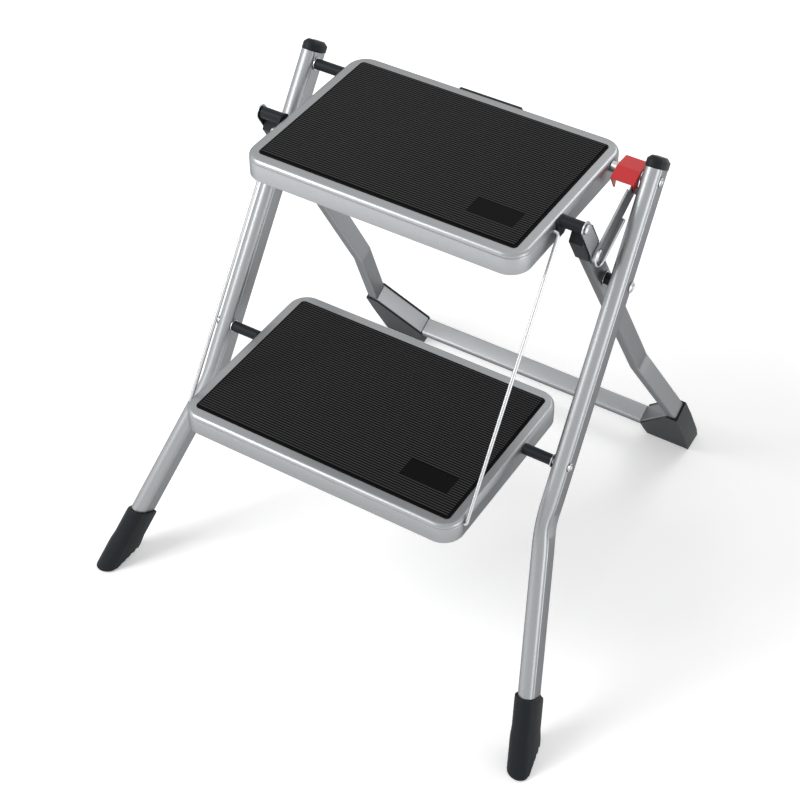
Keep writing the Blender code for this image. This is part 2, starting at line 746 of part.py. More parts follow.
grown = tube_section(GAP)
below_floor = prism_x([(-20.0, 0.0), (400.0, 0.0), (400.0, -80.0), (-20.0, -80.0)], 0.0, 300.0)
for side, word in side_names:
    outline = [
        (REAR_KNEE_X - 6.0, REAR_KNEE_S - 0.4),
        (REAR_KNEE_X - 4.9, REAR_KNEE_S - 1.0),
        (FOOT_OUTER_X - 1.4, REAR_KNEE_S - 1.0),
        (FOOT_OUTER_X, REAR_KNEE_S + 34.0),
        (FOOT_OUTER_X, REAR_BAR_S + 18.0),
        (FOOT_OUTER_X - 3.0, REAR_BAR_S + 48.0),
        (REAR_BAR_X + 5.5, REAR_BAR_S + 48.0),
        (REAR_BAR_X - 0.9, REAR_BAR_S + 14.0),
        (REAR_BAR_X - 2.6, REAR_BAR_S - 5.6),
    ]
    rings = []
    for n in (-FOOT_HALF_DEPTH, FOOT_HALF_DEPTH):
        rings.append(np.array([rear_point(s, n, x) for x, s in outline]))
    bends = [REAR_BEND_RADIUS, REAR_KNEE_RADIUS, REAR_KNEE_RADIUS]
    path = fillet(rear_half_path() + [[REAR_BAR_X - 50.0, REAR_BAR_S]], bends, steps=3)
    tunnel = loft(planar_rings(path, rear_point, grown))
    foot_cuts = [tunnel, below_floor]
    add_node("rear_foot_" + word, loft(rings), BLACK, side, "rear_leg_pivot", cuts=foot_cuts)

    cap_outline = [
        (-REAR_CAP_N, REAR_CAP_LOW),
        (REAR_CAP_N, REAR_CAP_LOW),
        (REAR_CAP_N, LINK_TOP_UP - 14.5),
        (8.5, LINK_TOP_UP - 13.7),
        (6.6, LINK_TOP_UP - 11.7),
        (5.6, LINK_TOP_UP - 8.5),
        (3.5, LINK_TOP_UP - 6.3),
        (-REAR_CAP_N, LINK_TOP_UP - 15.1),
    ]
    rings = []
    for x in (REAR_CAP_X0, REAR_CAP_X1):
        rings.append(np.array([rear_point(-up, n, x) for n, up in cap_outline]))
    tunnel_top = REAR_TOP_S - GAP
    tunnel_low = -REAR_CAP_LOW + 20.0
    ends = [[rear_leg_x(tunnel_top), tunnel_top], [rear_leg_x(tunnel_low), tunnel_low]]
    tunnel = loft(planar_rings(np.array(ends), rear_point, grown))
    cap_body = loft(rings)
    cap_name = "rear_cap_" + word
    add_node(cap_name, cap_body, BLACK, side, "rear_leg_pivot", cuts=[tunnel], smooth=False)

# Links, their rivets and the bushes on the top tread
for side, word in side_names:
    along = link_high - link_low
    turn = math.degrees(math.atan2(along[2], along[1]))
    outline = arc_points(link_high[1:], LINK_HIGH_RADIUS, turn - 90.0, turn + 90.0, 12)
    outline += arc_points(link_low[1:], LINK_LOW_RADIUS, turn + 90.0, turn + 270.0, 12)
    holes = merge(
        drill_x(link_low, LINK_X0 - CUT_PAST, LINK_X0 + CUT_PAST, shank_bore),
        drill_x(link_high, LINK_X0 - CUT_PAST, LINK_X0 + CUT_PAST, shank_bore),
    )
    plate = prism_x(outline, LINK_X0, LINK_X0 + LINK_THICK)
    link_pivot = "link_pivot_" + word
    add_node("link_plate_" + word, plate, ZINC, side, link_pivot, cuts=[holes])

    head_x = LINK_X0 + LINK_THICK + GAP
    stud = [
        (LINK_X0, LINK_SHANK_RADIUS),
        (head_x, LINK_SHANK_RADIUS),
        (head_x, STUD_HEAD_RADIUS),
        (head_x + 1.4, STUD_HEAD_RADIUS),
        (head_x + 2.4, STUD_HEAD_RADIUS - 1.5),
    ]
    add_node("link_stud_" + word, lathe_x(link_high, stud), ZINC, side, link_pivot)

    if side > 0:
        head_x = STRUT_X0 + STRUT_WEB + GAP
    inner_x = rear_leg_x(-LINK_RIVET_UP) - REAR_TUBE_WIDTH / 2.0 - GAP
    rivet = [
        (inner_x - 0.9, 4.6),
        (inner_x - 0.4, 5.2),
        (inner_x, 5.2),
        (inner_x, LINK_SHANK_RADIUS),
        (head_x, LINK_SHANK_RADIUS),
        (head_x, LINK_HEAD_RADIUS),
        (head_x + 1.0, LINK_HEAD_RADIUS),
        (head_x + LINK_HEAD, LINK_HEAD_RADIUS - 2.0),
    ]
    rivet_body = lathe_x(link_low, rivet)
    add_node("link_rivet_" + word, rivet_body, ZINC, side, "rear_leg_pivot")

    flange_x = TOP_TREAD_HALF_WIDTH + GAP
    barrel = [
        (flange_x, BUSH_RADIUS),
        (BUSH_END_X - 0.8, BUSH_RADIUS),
        (BUSH_END_X, BUSH_RADIUS - 0.8),
    ]
    high_y, high_z = link_high[1], link_high[2]
    back = [
        (high_y - 7.2, high_z - 17.5),
        (high_y + 6.0, high_z - 17.5),
        (high_y + 8.4, high_z - 15.0),
        (high_y + 8.4, high_z + 1.0),
        (high_y + 5.0, high_z + 4.0),
        (high_y - 5.0, high_z + 4.0),
        (high_y - 7.2, high_z + 1.0),
    ]
    plate = prism_x(back, flange_x, flange_x + 2.2)
    inside = TOP_TREAD_HALF_WIDTH - SHEET - GAP
    spigot = [
        (inside - 1.6, SPIGOT_HEAD_RADIUS),
        (inside, SPIGOT_HEAD_RADIUS),
        (inside, SPIGOT_RADIUS),
        (flange_x + 1.0, SPIGOT_RADIUS),
    ]
    parts = [plate, lathe_x(spigot_centre, spigot)]
    bush_body = lathe_x(link_high, barrel)
    add_node("link_bush_" + word, bush_body, BLACK, side, "fold_pivot", joins=parts)

# Lock strut, from the right rear leg's rivet up to the top axle
strut_along = top_axle - link_low
strut_length = float(np.linalg.norm(strut_along))
strut_along = strut_along / strut_length
outline = round_end(STRUT_HALF)
outline += [
    (strut_length - 14.5, -STRUT_HALF),
    (strut_length - 9.0, -4.8),
    (strut_length - 4.0, 2.6),
    (strut_length - 5.1, 4.8),
    (strut_length - 20.5, 5.0),
    (strut_length - 21.1, STRUT_HALF),
]
pocket_half = STRUT_HALF - STRUT_FLANGE
flange_end = strut_length - 41.5
top_end = strut_length - 22.6
past = STRUT_HALF + 3.0
pocket = round_end(pocket_half)
pocket += [(flange_end, -pocket_half), (flange_end, -past)]
pocket += [(strut_length + 8.0, -past), (strut_length + 8.0, past)]
pocket += [(top_end, past), (top_end, pocket_half)]
pocket = side_outline(link_low, strut_along, pocket)
strut_pocket = prism_x(pocket, STRUT_X0 + STRUT_WEB, STRUT_OUTER_X + CUT_PAST)
catch_pin_bore = CATCH_PIN_RADIUS + HOLE_GAP
strut_holes = merge(
    drill_x(link_low, STRUT_X0 - CUT_PAST, STRUT_OUTER_X + CUT_PAST, shank_bore),
    drill_x(catch_pin, STRUT_X0 - CUT_PAST, STRUT_OUTER_X + CUT_PAST, catch_pin_bore),
)
strut_body = prism_x(side_outline(link_low, strut_along, outline), STRUT_X0, STRUT_OUTER_X)
strut_cuts = [strut_pocket, strut_holes]
add_node("lock_strut", strut_body, PAINT, pivot="strut_pivot", cuts=strut_cuts)

# Red catch, a saddle over the top axle with two pointed cheeks. Its slot is the
# axle's place at rest and where the axle comes when the catch is lifted.
pin_to_axle = (top_axle - catch_pin)[1:]
lift_cos = math.cos(CATCH_LIFT)
lift_sin = math.sin(CATCH_LIFT)
lifted = (
    lift_cos * pin_to_axle[0] + lift_sin * pin_to_axle[1] - pin_to_axle[0],
    lift_cos * pin_to_axle[1] - lift_sin * pin_to_axle[0] - pin_to_axle[1],
)
slot = arc_points((0.0, 0.0), CATCH_SLOT_RADIUS, 180.0, 40.0, 5)
slot += arc_points(lifted, CATCH_SLOT_RADIUS, 40.0, 0.0, 2)
cheek = [(-17.5, -0.3), (-8.5, -16.5), (-4.9, -2.2)] + slot
cheek += [(8.5, -5.6), (15.0, 1.0), (15.0, 6.0), (-3.5, 6.5)]
channel = [(16.0, 4.5), (4.0, 4.7), (-3.0, 4.7), (-16.9, -1.9), (-22.0, -4.0)]
channel += [(-22.0, -22.0), (20.0, -22.0)]
cheek = [(top_axle[1] + y, top_axle[2] + z) for y, z in cheek]
channel = [(top_axle[1] + y, top_axle[2] + z) for y, z in channel]
catch_cuts = [
    prism_x(channel, CATCH_X0 + CATCH_WALL, CATCH_X1 - CATCH_WALL),
    drill_x(catch_pin, STRUT_X0, CATCH_X1 + CUT_PAST, catch_pin_bore),
]
catch_body = prism_x(cheek, CATCH_X0, CATCH_X1)
add_node("lock_catch", catch_body, RED, pivot="catch_pivot", cuts=catch_cuts, smooth=False)
pin_head_x = STRUT_X0 - GAP
pin_profile = [
    (pin_head_x - 1.0, CATCH_PIN_HEAD_RADIUS),
    (pin_head_x, CATCH_PIN_HEAD_RADIUS),
    (pin_head_x, CATCH_PIN_RADIUS),
    (CATCH_X1 + GAP, CATCH_PIN_RADIUS),
    (CATCH_X1 + GAP, CATCH_PIN_HEAD_RADIUS),
    (CATCH_X1 + GAP + 0.7, CATCH_PIN_HEAD_RADIUS - 0.6),
]
add_node("catch_pin", lathe_x(catch_pin, pin_profile), ZINC, pivot="strut_pivot")

# Treads and mats
rod_bore = ROD_RADIUS + HOLE_GAP
skirt_holes = merge(
    drill_sides(top_axle, TOP_TREAD_HALF_WIDTH, bore),
    drill_sides(top_hook, TOP_TREAD_HALF_WIDTH, rod_bore),
    drill_sides(spigot_centre, TOP_TREAD_HALF_WIDTH, SPIGOT_RADIUS + HOLE_GAP),
)
top_pan = pan(TOP_TREAD_HALF_WIDTH, top_tread_y, top_deck_z)
add_node("top_tread", top_pan, PAINT, pivot="fold_pivot", cuts=[skirt_holes])
skirt_holes = merge(
    drill_sides(lower_axle, LOWER_TREAD_HALF_WIDTH, bore),
    drill_sides(lower_hook, LOWER_TREAD_HALF_WIDTH, rod_bore),
)
lower_pan = pan(LOWER_TREAD_HALF_WIDTH, lower_tread_y, lower_deck_z)
add_node("lower_tread", lower_pan, PAINT, pivot="lower_step_pivot", cuts=[skirt_holes])
top_mat_y = (top_tread_y[0] + MAT_END_MARGIN, top_tread_y[1] - MAT_END_MARGIN)
top_mat = mat(TOP_TREAD_HALF_WIDTH - TOP_MAT_SIDE_MARGIN, top_mat_y, top_deck_z)
add_node("top_mat", top_mat, RUBBER, pivot="fold_pivot")
lower_mat_y = (lower_tread_y[0] + MAT_END_MARGIN, lower_tread_y[1] - MAT_END_MARGIN)
lower_mat = mat(LOWER_TREAD_HALF_WIDTH - LOWER_MAT_SIDE_MARGIN, lower_mat_y, lower_deck_z)
add_node("lower_mat", lower_mat, RUBBER, pivot="lower_step_pivot")

# Hand grip, clipped round the rear skirt of the top tread
rear_y = top_tread_y[1]
skirt_low = top_deck_z - SKIRT
grip = [
    (rear_y + GAP, top_deck_z - 6.0),
    (rear_y + 2.4, top_deck_z - 2.6),
    (rear_y + 5.6, top_deck_z - 3.4),
    (rear_y + 7.6, top_deck_z - 7.0),
    (rear_y + 7.6, skirt_low + 1.0),
    (rear_y + 5.0, skirt_low - 3.4),
    (rear_y - 2.4, skirt_low - 3.4),
    (rear_y - 4.4, skirt_low - 1.4),
    (rear_y - 4.4, skirt_low + 12.0),
    (rear_y - SHEET - GAP, skirt_low + 12.0),
    (rear_y - SHEET - GAP, skirt_low - GAP),
    (rear_y + GAP, skirt_low - GAP),
]
grip_body = prism_x(grip, -GRIP_HALF_WIDTH, GRIP_HALF_WIDTH)
add_node("hand_grip", grip_body, BLACK, pivot="fold_pivot", smooth=False)

# Rods between the two treads
corners = [
    [ROD_TOP_END_X, top_hook[1], top_hook[2]],
    [ROD_TOP_X, top_hook[1], top_hook[2]],
    [ROD_LOW_X, lower_hook[1], lower_hook[2]],
    [ROD_LOW_END_X, lower_hook[1], lower_hook[2]],
]
rod_path = fillet(corners, [ROD_TOP_BEND, ROD_LOW_BEND])
for side, word in side_names:
    rod_body = wire(rod_path, ROD_RADIUS)
    add_node("level_rod_" + word, rod_body, ZINC, side, "rod_pivot_" + word)
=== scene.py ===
"""Looks of a folding step stool with two ribbed treads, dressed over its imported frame.

Lengths are in millimetres, and closed_mesh turns them into metres. Only the
properties, the edge widths, the grain, the lamps and the floor are in metres.
x runs across the stool, y to the rear and z up from the floor. On each leg
frame, s runs down the legs and n runs square to them, to the rear.
"""

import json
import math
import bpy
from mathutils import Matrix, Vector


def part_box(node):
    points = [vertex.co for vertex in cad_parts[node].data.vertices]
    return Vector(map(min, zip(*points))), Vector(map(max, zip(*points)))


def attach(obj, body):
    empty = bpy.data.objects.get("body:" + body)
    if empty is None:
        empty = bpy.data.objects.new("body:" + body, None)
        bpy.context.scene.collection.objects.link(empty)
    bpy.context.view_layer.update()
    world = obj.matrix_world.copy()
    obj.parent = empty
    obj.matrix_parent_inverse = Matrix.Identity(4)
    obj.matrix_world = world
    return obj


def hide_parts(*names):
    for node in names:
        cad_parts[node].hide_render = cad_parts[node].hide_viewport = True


bl_info = {
    "name": "Folding step stool",
    "version": (1, 0, 0),
    "blender": (4, 5, 0),
    "location": "3D View > Sidebar > Step stool",
    "description": "Builds the treads, mats, legs, rods and fittings of a folding step stool",
    "category": "Object",
}

import bmesh
import bpy
import numpy as np
from bpy.props import FloatProperty, FloatVectorProperty, IntProperty, PointerProperty
from mathutils import Matrix, Vector

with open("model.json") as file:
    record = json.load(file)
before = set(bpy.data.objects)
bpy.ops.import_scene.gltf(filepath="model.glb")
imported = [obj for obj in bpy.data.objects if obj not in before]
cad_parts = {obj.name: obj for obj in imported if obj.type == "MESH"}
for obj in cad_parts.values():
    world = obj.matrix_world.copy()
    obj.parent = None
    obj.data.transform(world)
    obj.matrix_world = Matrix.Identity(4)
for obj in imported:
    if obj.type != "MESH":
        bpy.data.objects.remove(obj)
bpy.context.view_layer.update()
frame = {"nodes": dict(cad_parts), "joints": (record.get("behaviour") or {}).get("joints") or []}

MM = 0.001
SIDES = ((1, "right"), (-1, "left"))


def joint_place(name):
    """Where a joint's axis crosses the middle plane, in millimetres."""
    for joint in frame["joints"]:
        if joint["name"] == name:
            return np.array(joint["pos_m"], float) / MM
    raise RuntimeError("the frame has no joint named " + name)


def node_box(name):
    """Lowest and highest corner of a frame node, in millimetres."""
    low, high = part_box(name)
    return np.array(low) / MM, np.array(high) / MM


# Places that come from the frame
TOP_AXLE = joint_place("fold")
LOWER_AXLE = joint_place("lower_step_turn")
SCISSOR = joint_place("rear_leg_turn")
LINK_LOW = joint_place("link_turn_right")
TOP_HOOK = joint_place("rod_turn_right")
LOWER_HOOK = LOWER_AXLE + TOP_HOOK - TOP_AXLE
LINK_LENGTH = 55.2
FRONT_LEAN = math.radians(33.55)
REAR_LEAN = math.atan2(SCISSOR[1] - LINK_LOW[1], LINK_LOW[2] - SCISSOR[2])
LINK_HIGH = LINK_LOW + LINK_LENGTH * np.array([0.0, -math.sin(REAR_LEAN), math.cos(REAR_LEAN)])
SPIGOT = LINK_HIGH + np.array([0.0, 0.6, -12.0])

# Front legs and their caps
LEG_HALF_WIDTH = 8.6
LEG_NOSE_HALF_WIDTH = 8.1
LEG_BACK = 13.0
LEG_NOSE_START = -6.5
LEG_NOSE_DEPTH = 6.5
LEG_TOP_S = -11.0
LEG_BEND_S = 344.0
LEG_TOP_X = 190.0
LEG_BEND_X = 197.8
LEG_SPLAY = 0.24
LEG_BEND_RADIUS = 200.0
LEG_WALL = 1.4
LEG_BACK_ROUNDING = 2.4
LEG_CREASE = 0.7
LEG_NOSE_STEPS = 28
LEG_BEND_STEPS = 24
LEG_SPACING = 2.0
LEG_SPACING_REACH = 30.0
LEG_DENT_LENGTH = 13.0
LEG_FLOOR_S = TOP_AXLE[2] / math.cos(FRONT_LEAN)
LEG_END_S = LEG_FLOOR_S - 25.0
CAP_PLUG_S = -5.0
CAP_GAP = 0.3
CAP_HEIGHT = 10.7
CAP_OVERHANG = 0.35

# Distance below the cap's top and growth of the leg's section there, going up
CAP_CHAMFER = ((4.2, 0.35), (3.6, 0.15), (0.5, -2.5), (0.1, -3.0), (0.0, -3.6))

# Boots
BOOT_TOP_S = LEG_FLOOR_S - 69.0
BOOT_HALF_WIDTH = 11.5
BOOT_HALF_DEPTH = 15.5
BOOT_FLARE = 1.09
BOOT_FLARE_S = LEG_FLOOR_S - 40.0
BOOT_FLARE_LENGTH = 15.0
BOOT_SHANK_GROWTH = 0.015
BOOT_LIP = 1.1
BOOT_BORE_GAP = 0.3
BOOT_STEPS = 25
SOLE_FLAT_Y = -252.0
SOLE_RISE = 0.3
SOLE_GROOVES = 4
SOLE_GROOVE_PITCH = 7.0
SOLE_GROOVE_RADIUS = 2.3
SOLE_GROOVE_LIFT = 0.9
SOLE_GROOVE_X = (200.0, 300.0)
SOLE_ROUNDING = 3.2

# Share of the outline's size at the rings that close the sole and the bore
RING_CENTRE = 0.02
SOLE_SHARES = (0.55, 0.3, RING_CENTRE)

# Rear frame
REAR_HALF_WIDTH = 6.0
REAR_HALF_DEPTH = 10.5
REAR_WALL = 1.2
REAR_CORNER = 2.6
REAR_INNER_CORNER = 1.4
REAR_CORNER_STEPS = 6
REAR_TOP = (166.5, -90.0)
REAR_BEND = (172.9, 220.0)
REAR_FLOOR_S = SCISSOR[2] / math.cos(REAR_LEAN)
REAR_BEND_RADIUS = 40.0
REAR_KNEE_RADIUS = 8.0
REAR_CREASE_DEPTH = 0.16
REAR_CREASE_LENGTH = 0.8
REAR_BEND_STEPS = 8
REAR_SPACING = 4.0
REAR_SPACING_REACH = 24.0
REAR_DENT_SHARE = 0.6
REAR_DENT_LENGTH = 10.0
REAR_KNEE = (196.9, REAR_FLOOR_S - 104.2)
REAR_BAR = (151.5, REAR_FLOOR_S - 33.2)

# Treads
AXLE_HOLE = 4.3
SPIGOT_HOLE = 2.7
HOLE_INSIDE = 12.0
HOLE_OUTSIDE = 9.0
SHEET = 1.2
TREAD_CORNER = 21.0
TREAD_EDGE = 4.0
TREAD_UNDER = 1.0
TREAD_INNER_EDGE = 0.6
TREAD_STEP_BACK = 0.1
SKIRT_INNER_LIP = 0.3
SKIRT_OUTER_LIP = 0.4

# Inset and depth below the rounded edge, up across the groove round a tread
TREAD_GROOVE = ((0.0, 1.8), (0.15, 1.4), (0.4, 0.8), (0.15, 0.2))

# Mats
MAT_MARGIN = 2.6
MAT_CORNER = 4.5
MAT_CORNER_STEPS = 8
MAT_FLOOR = 1.3
MAT_PANEL = 0.45
MAT_PANEL_EDGE = 0.02
TOP_BLANK = ((73.5, -68.8), (121.4, -43.6))
LOWER_BLANK = ((75.0, -185.2), (127.1, -161.1))

# Depths below a mat's highest point between which the rubber turns from its own dark colour to
# the painted highlight on the rib tops
MAT_DARK = 0.165
MAT_HIGHLIGHT = 0.115

# Inset and drop below the top of a mat's sheet, going up
MAT_EDGE = ((0.0, 0.6), (0.12, 0.25), (0.4, 0.0))

# Mat ribs: where a sine leaves the groove, how much of it a side takes, and
# how much higher the middle of a rib is than its shoulders
RIB_FOOT = 0.30
RIB_SIDE = 0.42
RIB_CROWN = 0.14
RIB_STEPS = 12
RIB_END = 0.35
RIB_SUNK = 0.3

# Lock strut
STRUT_HALF = 11.0
STRUT_RIM = 1.3
STRUT_DEPTH = 3.2
STRUT_DEPTH_FALL = 1.2
STRUT_RIM_END = 42.5

# Rods
ROD_RADIUS = 1.9
ROD_HOLE = ROD_RADIUS + 0.3
ROD_TOP_X = 154.5
ROD_LOW_X = 158.0
ROD_END_X = 143.0
ROD_LOW_END_X = ROD_END_X + 6.0
ROD_BENDS = (3.0, 2.1)
ROD_BEND_STEPS = 8

# Dents: where a dent starts on the half width, and how far it spreads over a face
DENT_START = 0.3
DENT_SPREAD = 1.25

# Widths of rounded edges, in metres
FINE_EDGE = 0.0003
SPACER_EDGE = 0.0002
GRIP_EDGE = 0.0009
FOOT_EDGE = 0.0018
REAR_CAP_EDGE = 0.0006
EDGE_SEGMENTS = 3

# Angles in degrees from which an edge is drawn sharp
SHARP = 40.0
SHARP_TUBE = 28.0
SHARP_RIB = 60.0
SHARP_COPY = 35.0

# In copies of frame nodes, points closer than this many metres are joined, and
# faces that meet at less than this angle in degrees become one
WELD = 0.000002
FLAT = 1.0

# The first side of a wire's rings, which no wire here runs along
WIRE_SIDE = (0.1, 0.9, 0.4)

# Camera, solved from the photograph
CAMERA_PLACE = (697.58, -1176.39, 1456.05)
CAMERA_RIGHT = (0.849295, 0.527908, -0.003421)
CAMERA_UP = (-0.359754, 0.583489, 0.728092)
CAMERA_LENS = 80.02
CAMERA_SENSOR = 36.0


class StoolSizes(bpy.types.PropertyGroup):
    """Sizes that a user may change."""

    rib_pitch: FloatProperty(
        name="Rib pitch",
        description="Distance from one mat rib to the next",
        default=0.00295,
        unit="LENGTH",
    )
    rib_height: FloatProperty(
        name="Rib height",
        description="Height of the mat ribs",
        default=0.0012,
        unit="LENGTH",
    )
    dimple: FloatProperty(
        name="Dimple depth",
        description="Depth of the pressed dimple where a leg is bent",
        default=0.0022,
        unit="LENGTH",
    )
    edge: FloatProperty(
        name="Edge rounding",
        description="Width of the small rounding on moulded and stamped edges",
        default=0.0005,
        unit="LENGTH",
    )
    corner_steps: IntProperty(
        name="Corner steps",
        description="Number of steps round a tread's corner",
        default=14,
        min=4,
    )


class StoolColours(bpy.types.PropertyGroup):
    """Colours that a user may change."""

    paint: FloatVectorProperty(
        name="Paint",
        description="Silver paint of the legs and treads",
        subtype="COLOR",
        default=(0.36, 0.37, 0.38),
        min=0.0,
        max=1.0,
    )
    plastic: FloatVectorProperty(
        name="Plastic",
        description="Black plastic of the caps, feet and bushes",
        subtype="COLOR",
        default=(0.017, 0.020, 0.023),
        min=0.0,
        max=1.0,
    )
    rubber: FloatVectorProperty(
        name="Rubber",
        description="Black rubber of the mats",
        subtype="COLOR",
        default=(0.007, 0.007, 0.007),
        min=0.0,
        max=1.0,
    )
    # Painted highlight: the lighter grey given to the tops of the mats' ribs in place of the
    # light they catch
    rib: FloatVectorProperty(
        name="Rib tops",
        description="Painted highlight on the tops of the mats' ribs",
        subtype="COLOR",
        default=(0.058, 0.058, 0.060),
        min=0.0,
        max=1.0,
    )
    zinc: FloatVectorProperty(
        name="Zinc",
        description="Bright zinc of the rods, rivets and links",
        subtype="COLOR",
        default=(0.56, 0.57, 0.58),
        min=0.0,
        max=1.0,
    )
    catch: FloatVectorProperty(
        name="Catch",
        description="Red plastic of the lock catch",
        subtype="COLOR",
        default=(0.60, 0.030, 0.034),
        min=0.0,
        max=1.0,
    )


def sizes():
    """The size properties of this scene."""
    return bpy.context.scene.stool_sizes


def colours():
    """The colour properties of this scene."""
    return bpy.context.scene.stool_colours


# Materials

# Metallic, roughness, gloss, and scale and strength of the grain, for each slot
SURFACES = {
    "silver_paint": (0.85, 0.37, 0.5, (2600.0, 0.05)),
    "black_plastic": (0.0, 0.46, 0.12, (900.0, 0.10)),
    "black_rubber": (0.0, 0.60, 0.03, (1500.0, 0.12)),
    "bright_zinc": (1.0, 0.27, 0.5, (700.0, 0.02)),
    "red_plastic": (0.0, 0.42, 0.4, (900.0, 0.05)),
}
GRAIN_DETAIL = 3.0
GRAIN_DEPTH = 0.0002

# The colour property of each slot
SLOT_COLOURS = {
    "silver_paint": "paint",
    "black_plastic": "plastic",
    "black_rubber": "rubber",
    "bright_zinc": "zinc",
    "red_plastic": "catch",
}

# Noise value and share of the paint's colour at the darkest and the lightest flake
FLAKES = ((0.35, 0.90), (0.70, 1.12))

# How much of a metal's gloss is left where it is seen edge-on
EDGE_TINT = (0.20, 0.20, 0.21)
WHITE = (1.0, 1.0, 1.0, 1.0)
AMBIENT = 0.42
FLOOR_REACH = 6.0
FLOOR_GREY = 0.93
FLOOR_ROUGHNESS = 0.9

# Name, place, aim, power and size of each lamp, in metres and watts
LAMPS = (
    ("key", (-1.4, -1.3, 2.1), (0.0, 0.0, 0.3), 30.0, 1.1),
    ("streak", (-1.5, -2.0, 1.3), (0.0, 0.0, 0.25), 9.0, 0.6),
    ("fill", (2.2, -0.2, 0.55), (0.0, 0.0, 0.3), 8.0, 0.9),
    ("back", (0.5, 1.9, 1.9), (0.0, 0.0, 0.3), 14.0, 1.2),
)

# The floor's glow goes from 0.30 within half a metre to 1.0 where the lamps don't reach
FLOOR_LIFT = (0.5, 1.6, 0.30, 1.0)


def shader_of(name):
    """A new material and its node tree's main shader."""
    found = bpy.data.materials.new(name)
    found.use_nodes = True
    return found, found.node_tree.nodes["Principled BSDF"]


def surface(name, slot):
    """A new material with a slot's gloss, and its node tree's main shader."""
    found, shader = shader_of(name)
    metallic, roughness, gloss, _ = SURFACES[slot]
    shader.inputs["Metallic"].default_value = metallic
    shader.inputs["Roughness"].default_value = roughness
    shader.inputs["Specular IOR Level"].default_value = gloss
    shader.inputs["Specular Tint"].default_value = (*EDGE_TINT, 1.0) if metallic else WHITE
    return found, shader


def add_grain(made, shader, scale, strength):
    """Fine bumps on the surface, from noise on object coordinates."""
    tree = made.node_tree
    place = tree.nodes.new("ShaderNodeTexCoord")
    noise = tree.nodes.new("ShaderNodeTexNoise")
    noise.inputs["Scale"].default_value = scale
    noise.inputs["Detail"].default_value = GRAIN_DETAIL
    bump = tree.nodes.new("ShaderNodeBump")
    bump.inputs["Strength"].default_value = strength
    bump.inputs["Distance"].default_value = GRAIN_DEPTH
    tree.links.new(place.outputs["Object"], noise.inputs["Vector"])
    tree.links.new(noise.outputs["Fac"], bump.inputs["Height"])
    tree.links.new(bump.outputs["Normal"], shader.inputs["Normal"])
    return noise


def add_flakes(made, shader, noise, colour):
    """Breaks a colour a little by the grain's own noise, as fine flakes in paint do."""
    tree = made.node_tree
    ramp = tree.nodes.new("ShaderNodeValToRGB")
    for element, (place, share) in zip(ramp.color_ramp.elements, FLAKES):
        element.position = place
        element.color = (*(min(1.0, share * c) for c in colour), 1.0)
    tree.links.new(noise.outputs["Fac"], ramp.inputs["Fac"])
    tree.links.new(ramp.outputs["Color"], shader.inputs["Base Color"])


def look(slot):
    """A slot's material, in one colour with a grain, and flaked for the silver paint."""
    name = slot + "_look"
    found = bpy.data.materials.get(name)
    if found is not None:
        return found
    found, shader = surface(name, slot)
    colour = tuple(getattr(colours(), SLOT_COLOURS[slot]))
    shader.inputs["Base Color"].default_value = (*colour, 1.0)
    noise = add_grain(found, shader, *SURFACES[slot][3])
    if slot == "silver_paint":
        add_flakes(found, shader, noise, colour)
    return found


def rubber_with_rib_highlight(top):
    """Dull black rubber whose rib tops, up to height top, are painted a lighter grey as a
    highlight over the rubber's own dark colour.
    """
    found, shader = surface("ribbed_rubber_look_{:.0f}".format(top), "black_rubber")
    tree = found.node_tree
    place = tree.nodes.new("ShaderNodeTexCoord")
    split = tree.nodes.new("ShaderNodeSeparateXYZ")
    share = tree.nodes.new("ShaderNodeMapRange")
    share.inputs["From Min"].default_value = (top - MAT_DARK) * MM
    share.inputs["From Max"].default_value = (top - MAT_HIGHLIGHT) * MM
    # The ramp runs from the rubber's own colour in the grooves to the painted highlight colour
    # on the rib tops.
    ramp = tree.nodes.new("ShaderNodeValToRGB")
    ramp.color_ramp.elements[0].color = (*colours().rubber, 1.0)
    ramp.color_ramp.elements[1].color = (*colours().rib, 1.0)
    tree.links.new(place.outputs["Object"], split.inputs[0])
    tree.links.new(split.outputs["Z"], share.inputs["Value"])
    tree.links.new(share.outputs["Result"], ramp.inputs["Fac"])
    tree.links.new(ramp.outputs["Color"], shader.inputs["Base Color"])
    return found


# Shapes


def grid_faces(rows, columns, wrap_rows=False, wrap_columns=True):
    """Quads of a grid of points stored row by row."""
    row = np.arange(rows if wrap_rows else rows - 1)[:, None]
    column = np.arange(columns if wrap_columns else columns - 1)[None, :]
    next_row = (row + 1) % rows
    next_column = (column + 1) % columns
    a = row * columns + column
    b = row * columns + next_column
    c = next_row * columns + next_column
    d = next_row * columns + column
    return np.stack([a, b, c, d], axis=-1).reshape(-1, 4).tolist()


def outward(mesh):
    """Turns the faces of a closed mesh outwards."""
    work = bmesh.new()
    work.from_mesh(mesh)
    bmesh.ops.recalc_face_normals(work, faces=work.faces)
    if work.calc_volume(signed=True) < 0.0:
        bmesh.ops.reverse_faces(work, faces=work.faces)
    work.to_mesh(mesh)
    work.free()


def closed_mesh(name, points, faces):
    """A closed mesh from points in millimetres, its faces turned outwards."""
    mesh = bpy.data.meshes.new(name)
    mesh.from_pydata((np.asarray(points) * MM).tolist(), [], faces)
    outward(mesh)
    return mesh


def add_object(name, data):
    """A new object in the scene."""
    found = bpy.data.objects.new(name, data)
    bpy.context.scene.collection.objects.link(found)
    return found


def smooth(mesh, angle):
    """Shades a mesh smooth, apart from edges of at least an angle in degrees."""
    mesh.shade_smooth()
    mesh.set_sharp_from_angle(angle=math.radians(angle))


def new_piece(name, points, faces, slot, body, replaced, sharp=SHARP):
    """A finished piece at the origin, riding on a body in place of its frame nodes."""
    mesh = closed_mesh(name, points, faces)
    piece = add_object(name, mesh)
    mesh.materials.append(look(slot))
    smooth(mesh, sharp)
    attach(piece, body)
    if replaced:
        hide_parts(*replaced)
    return piece


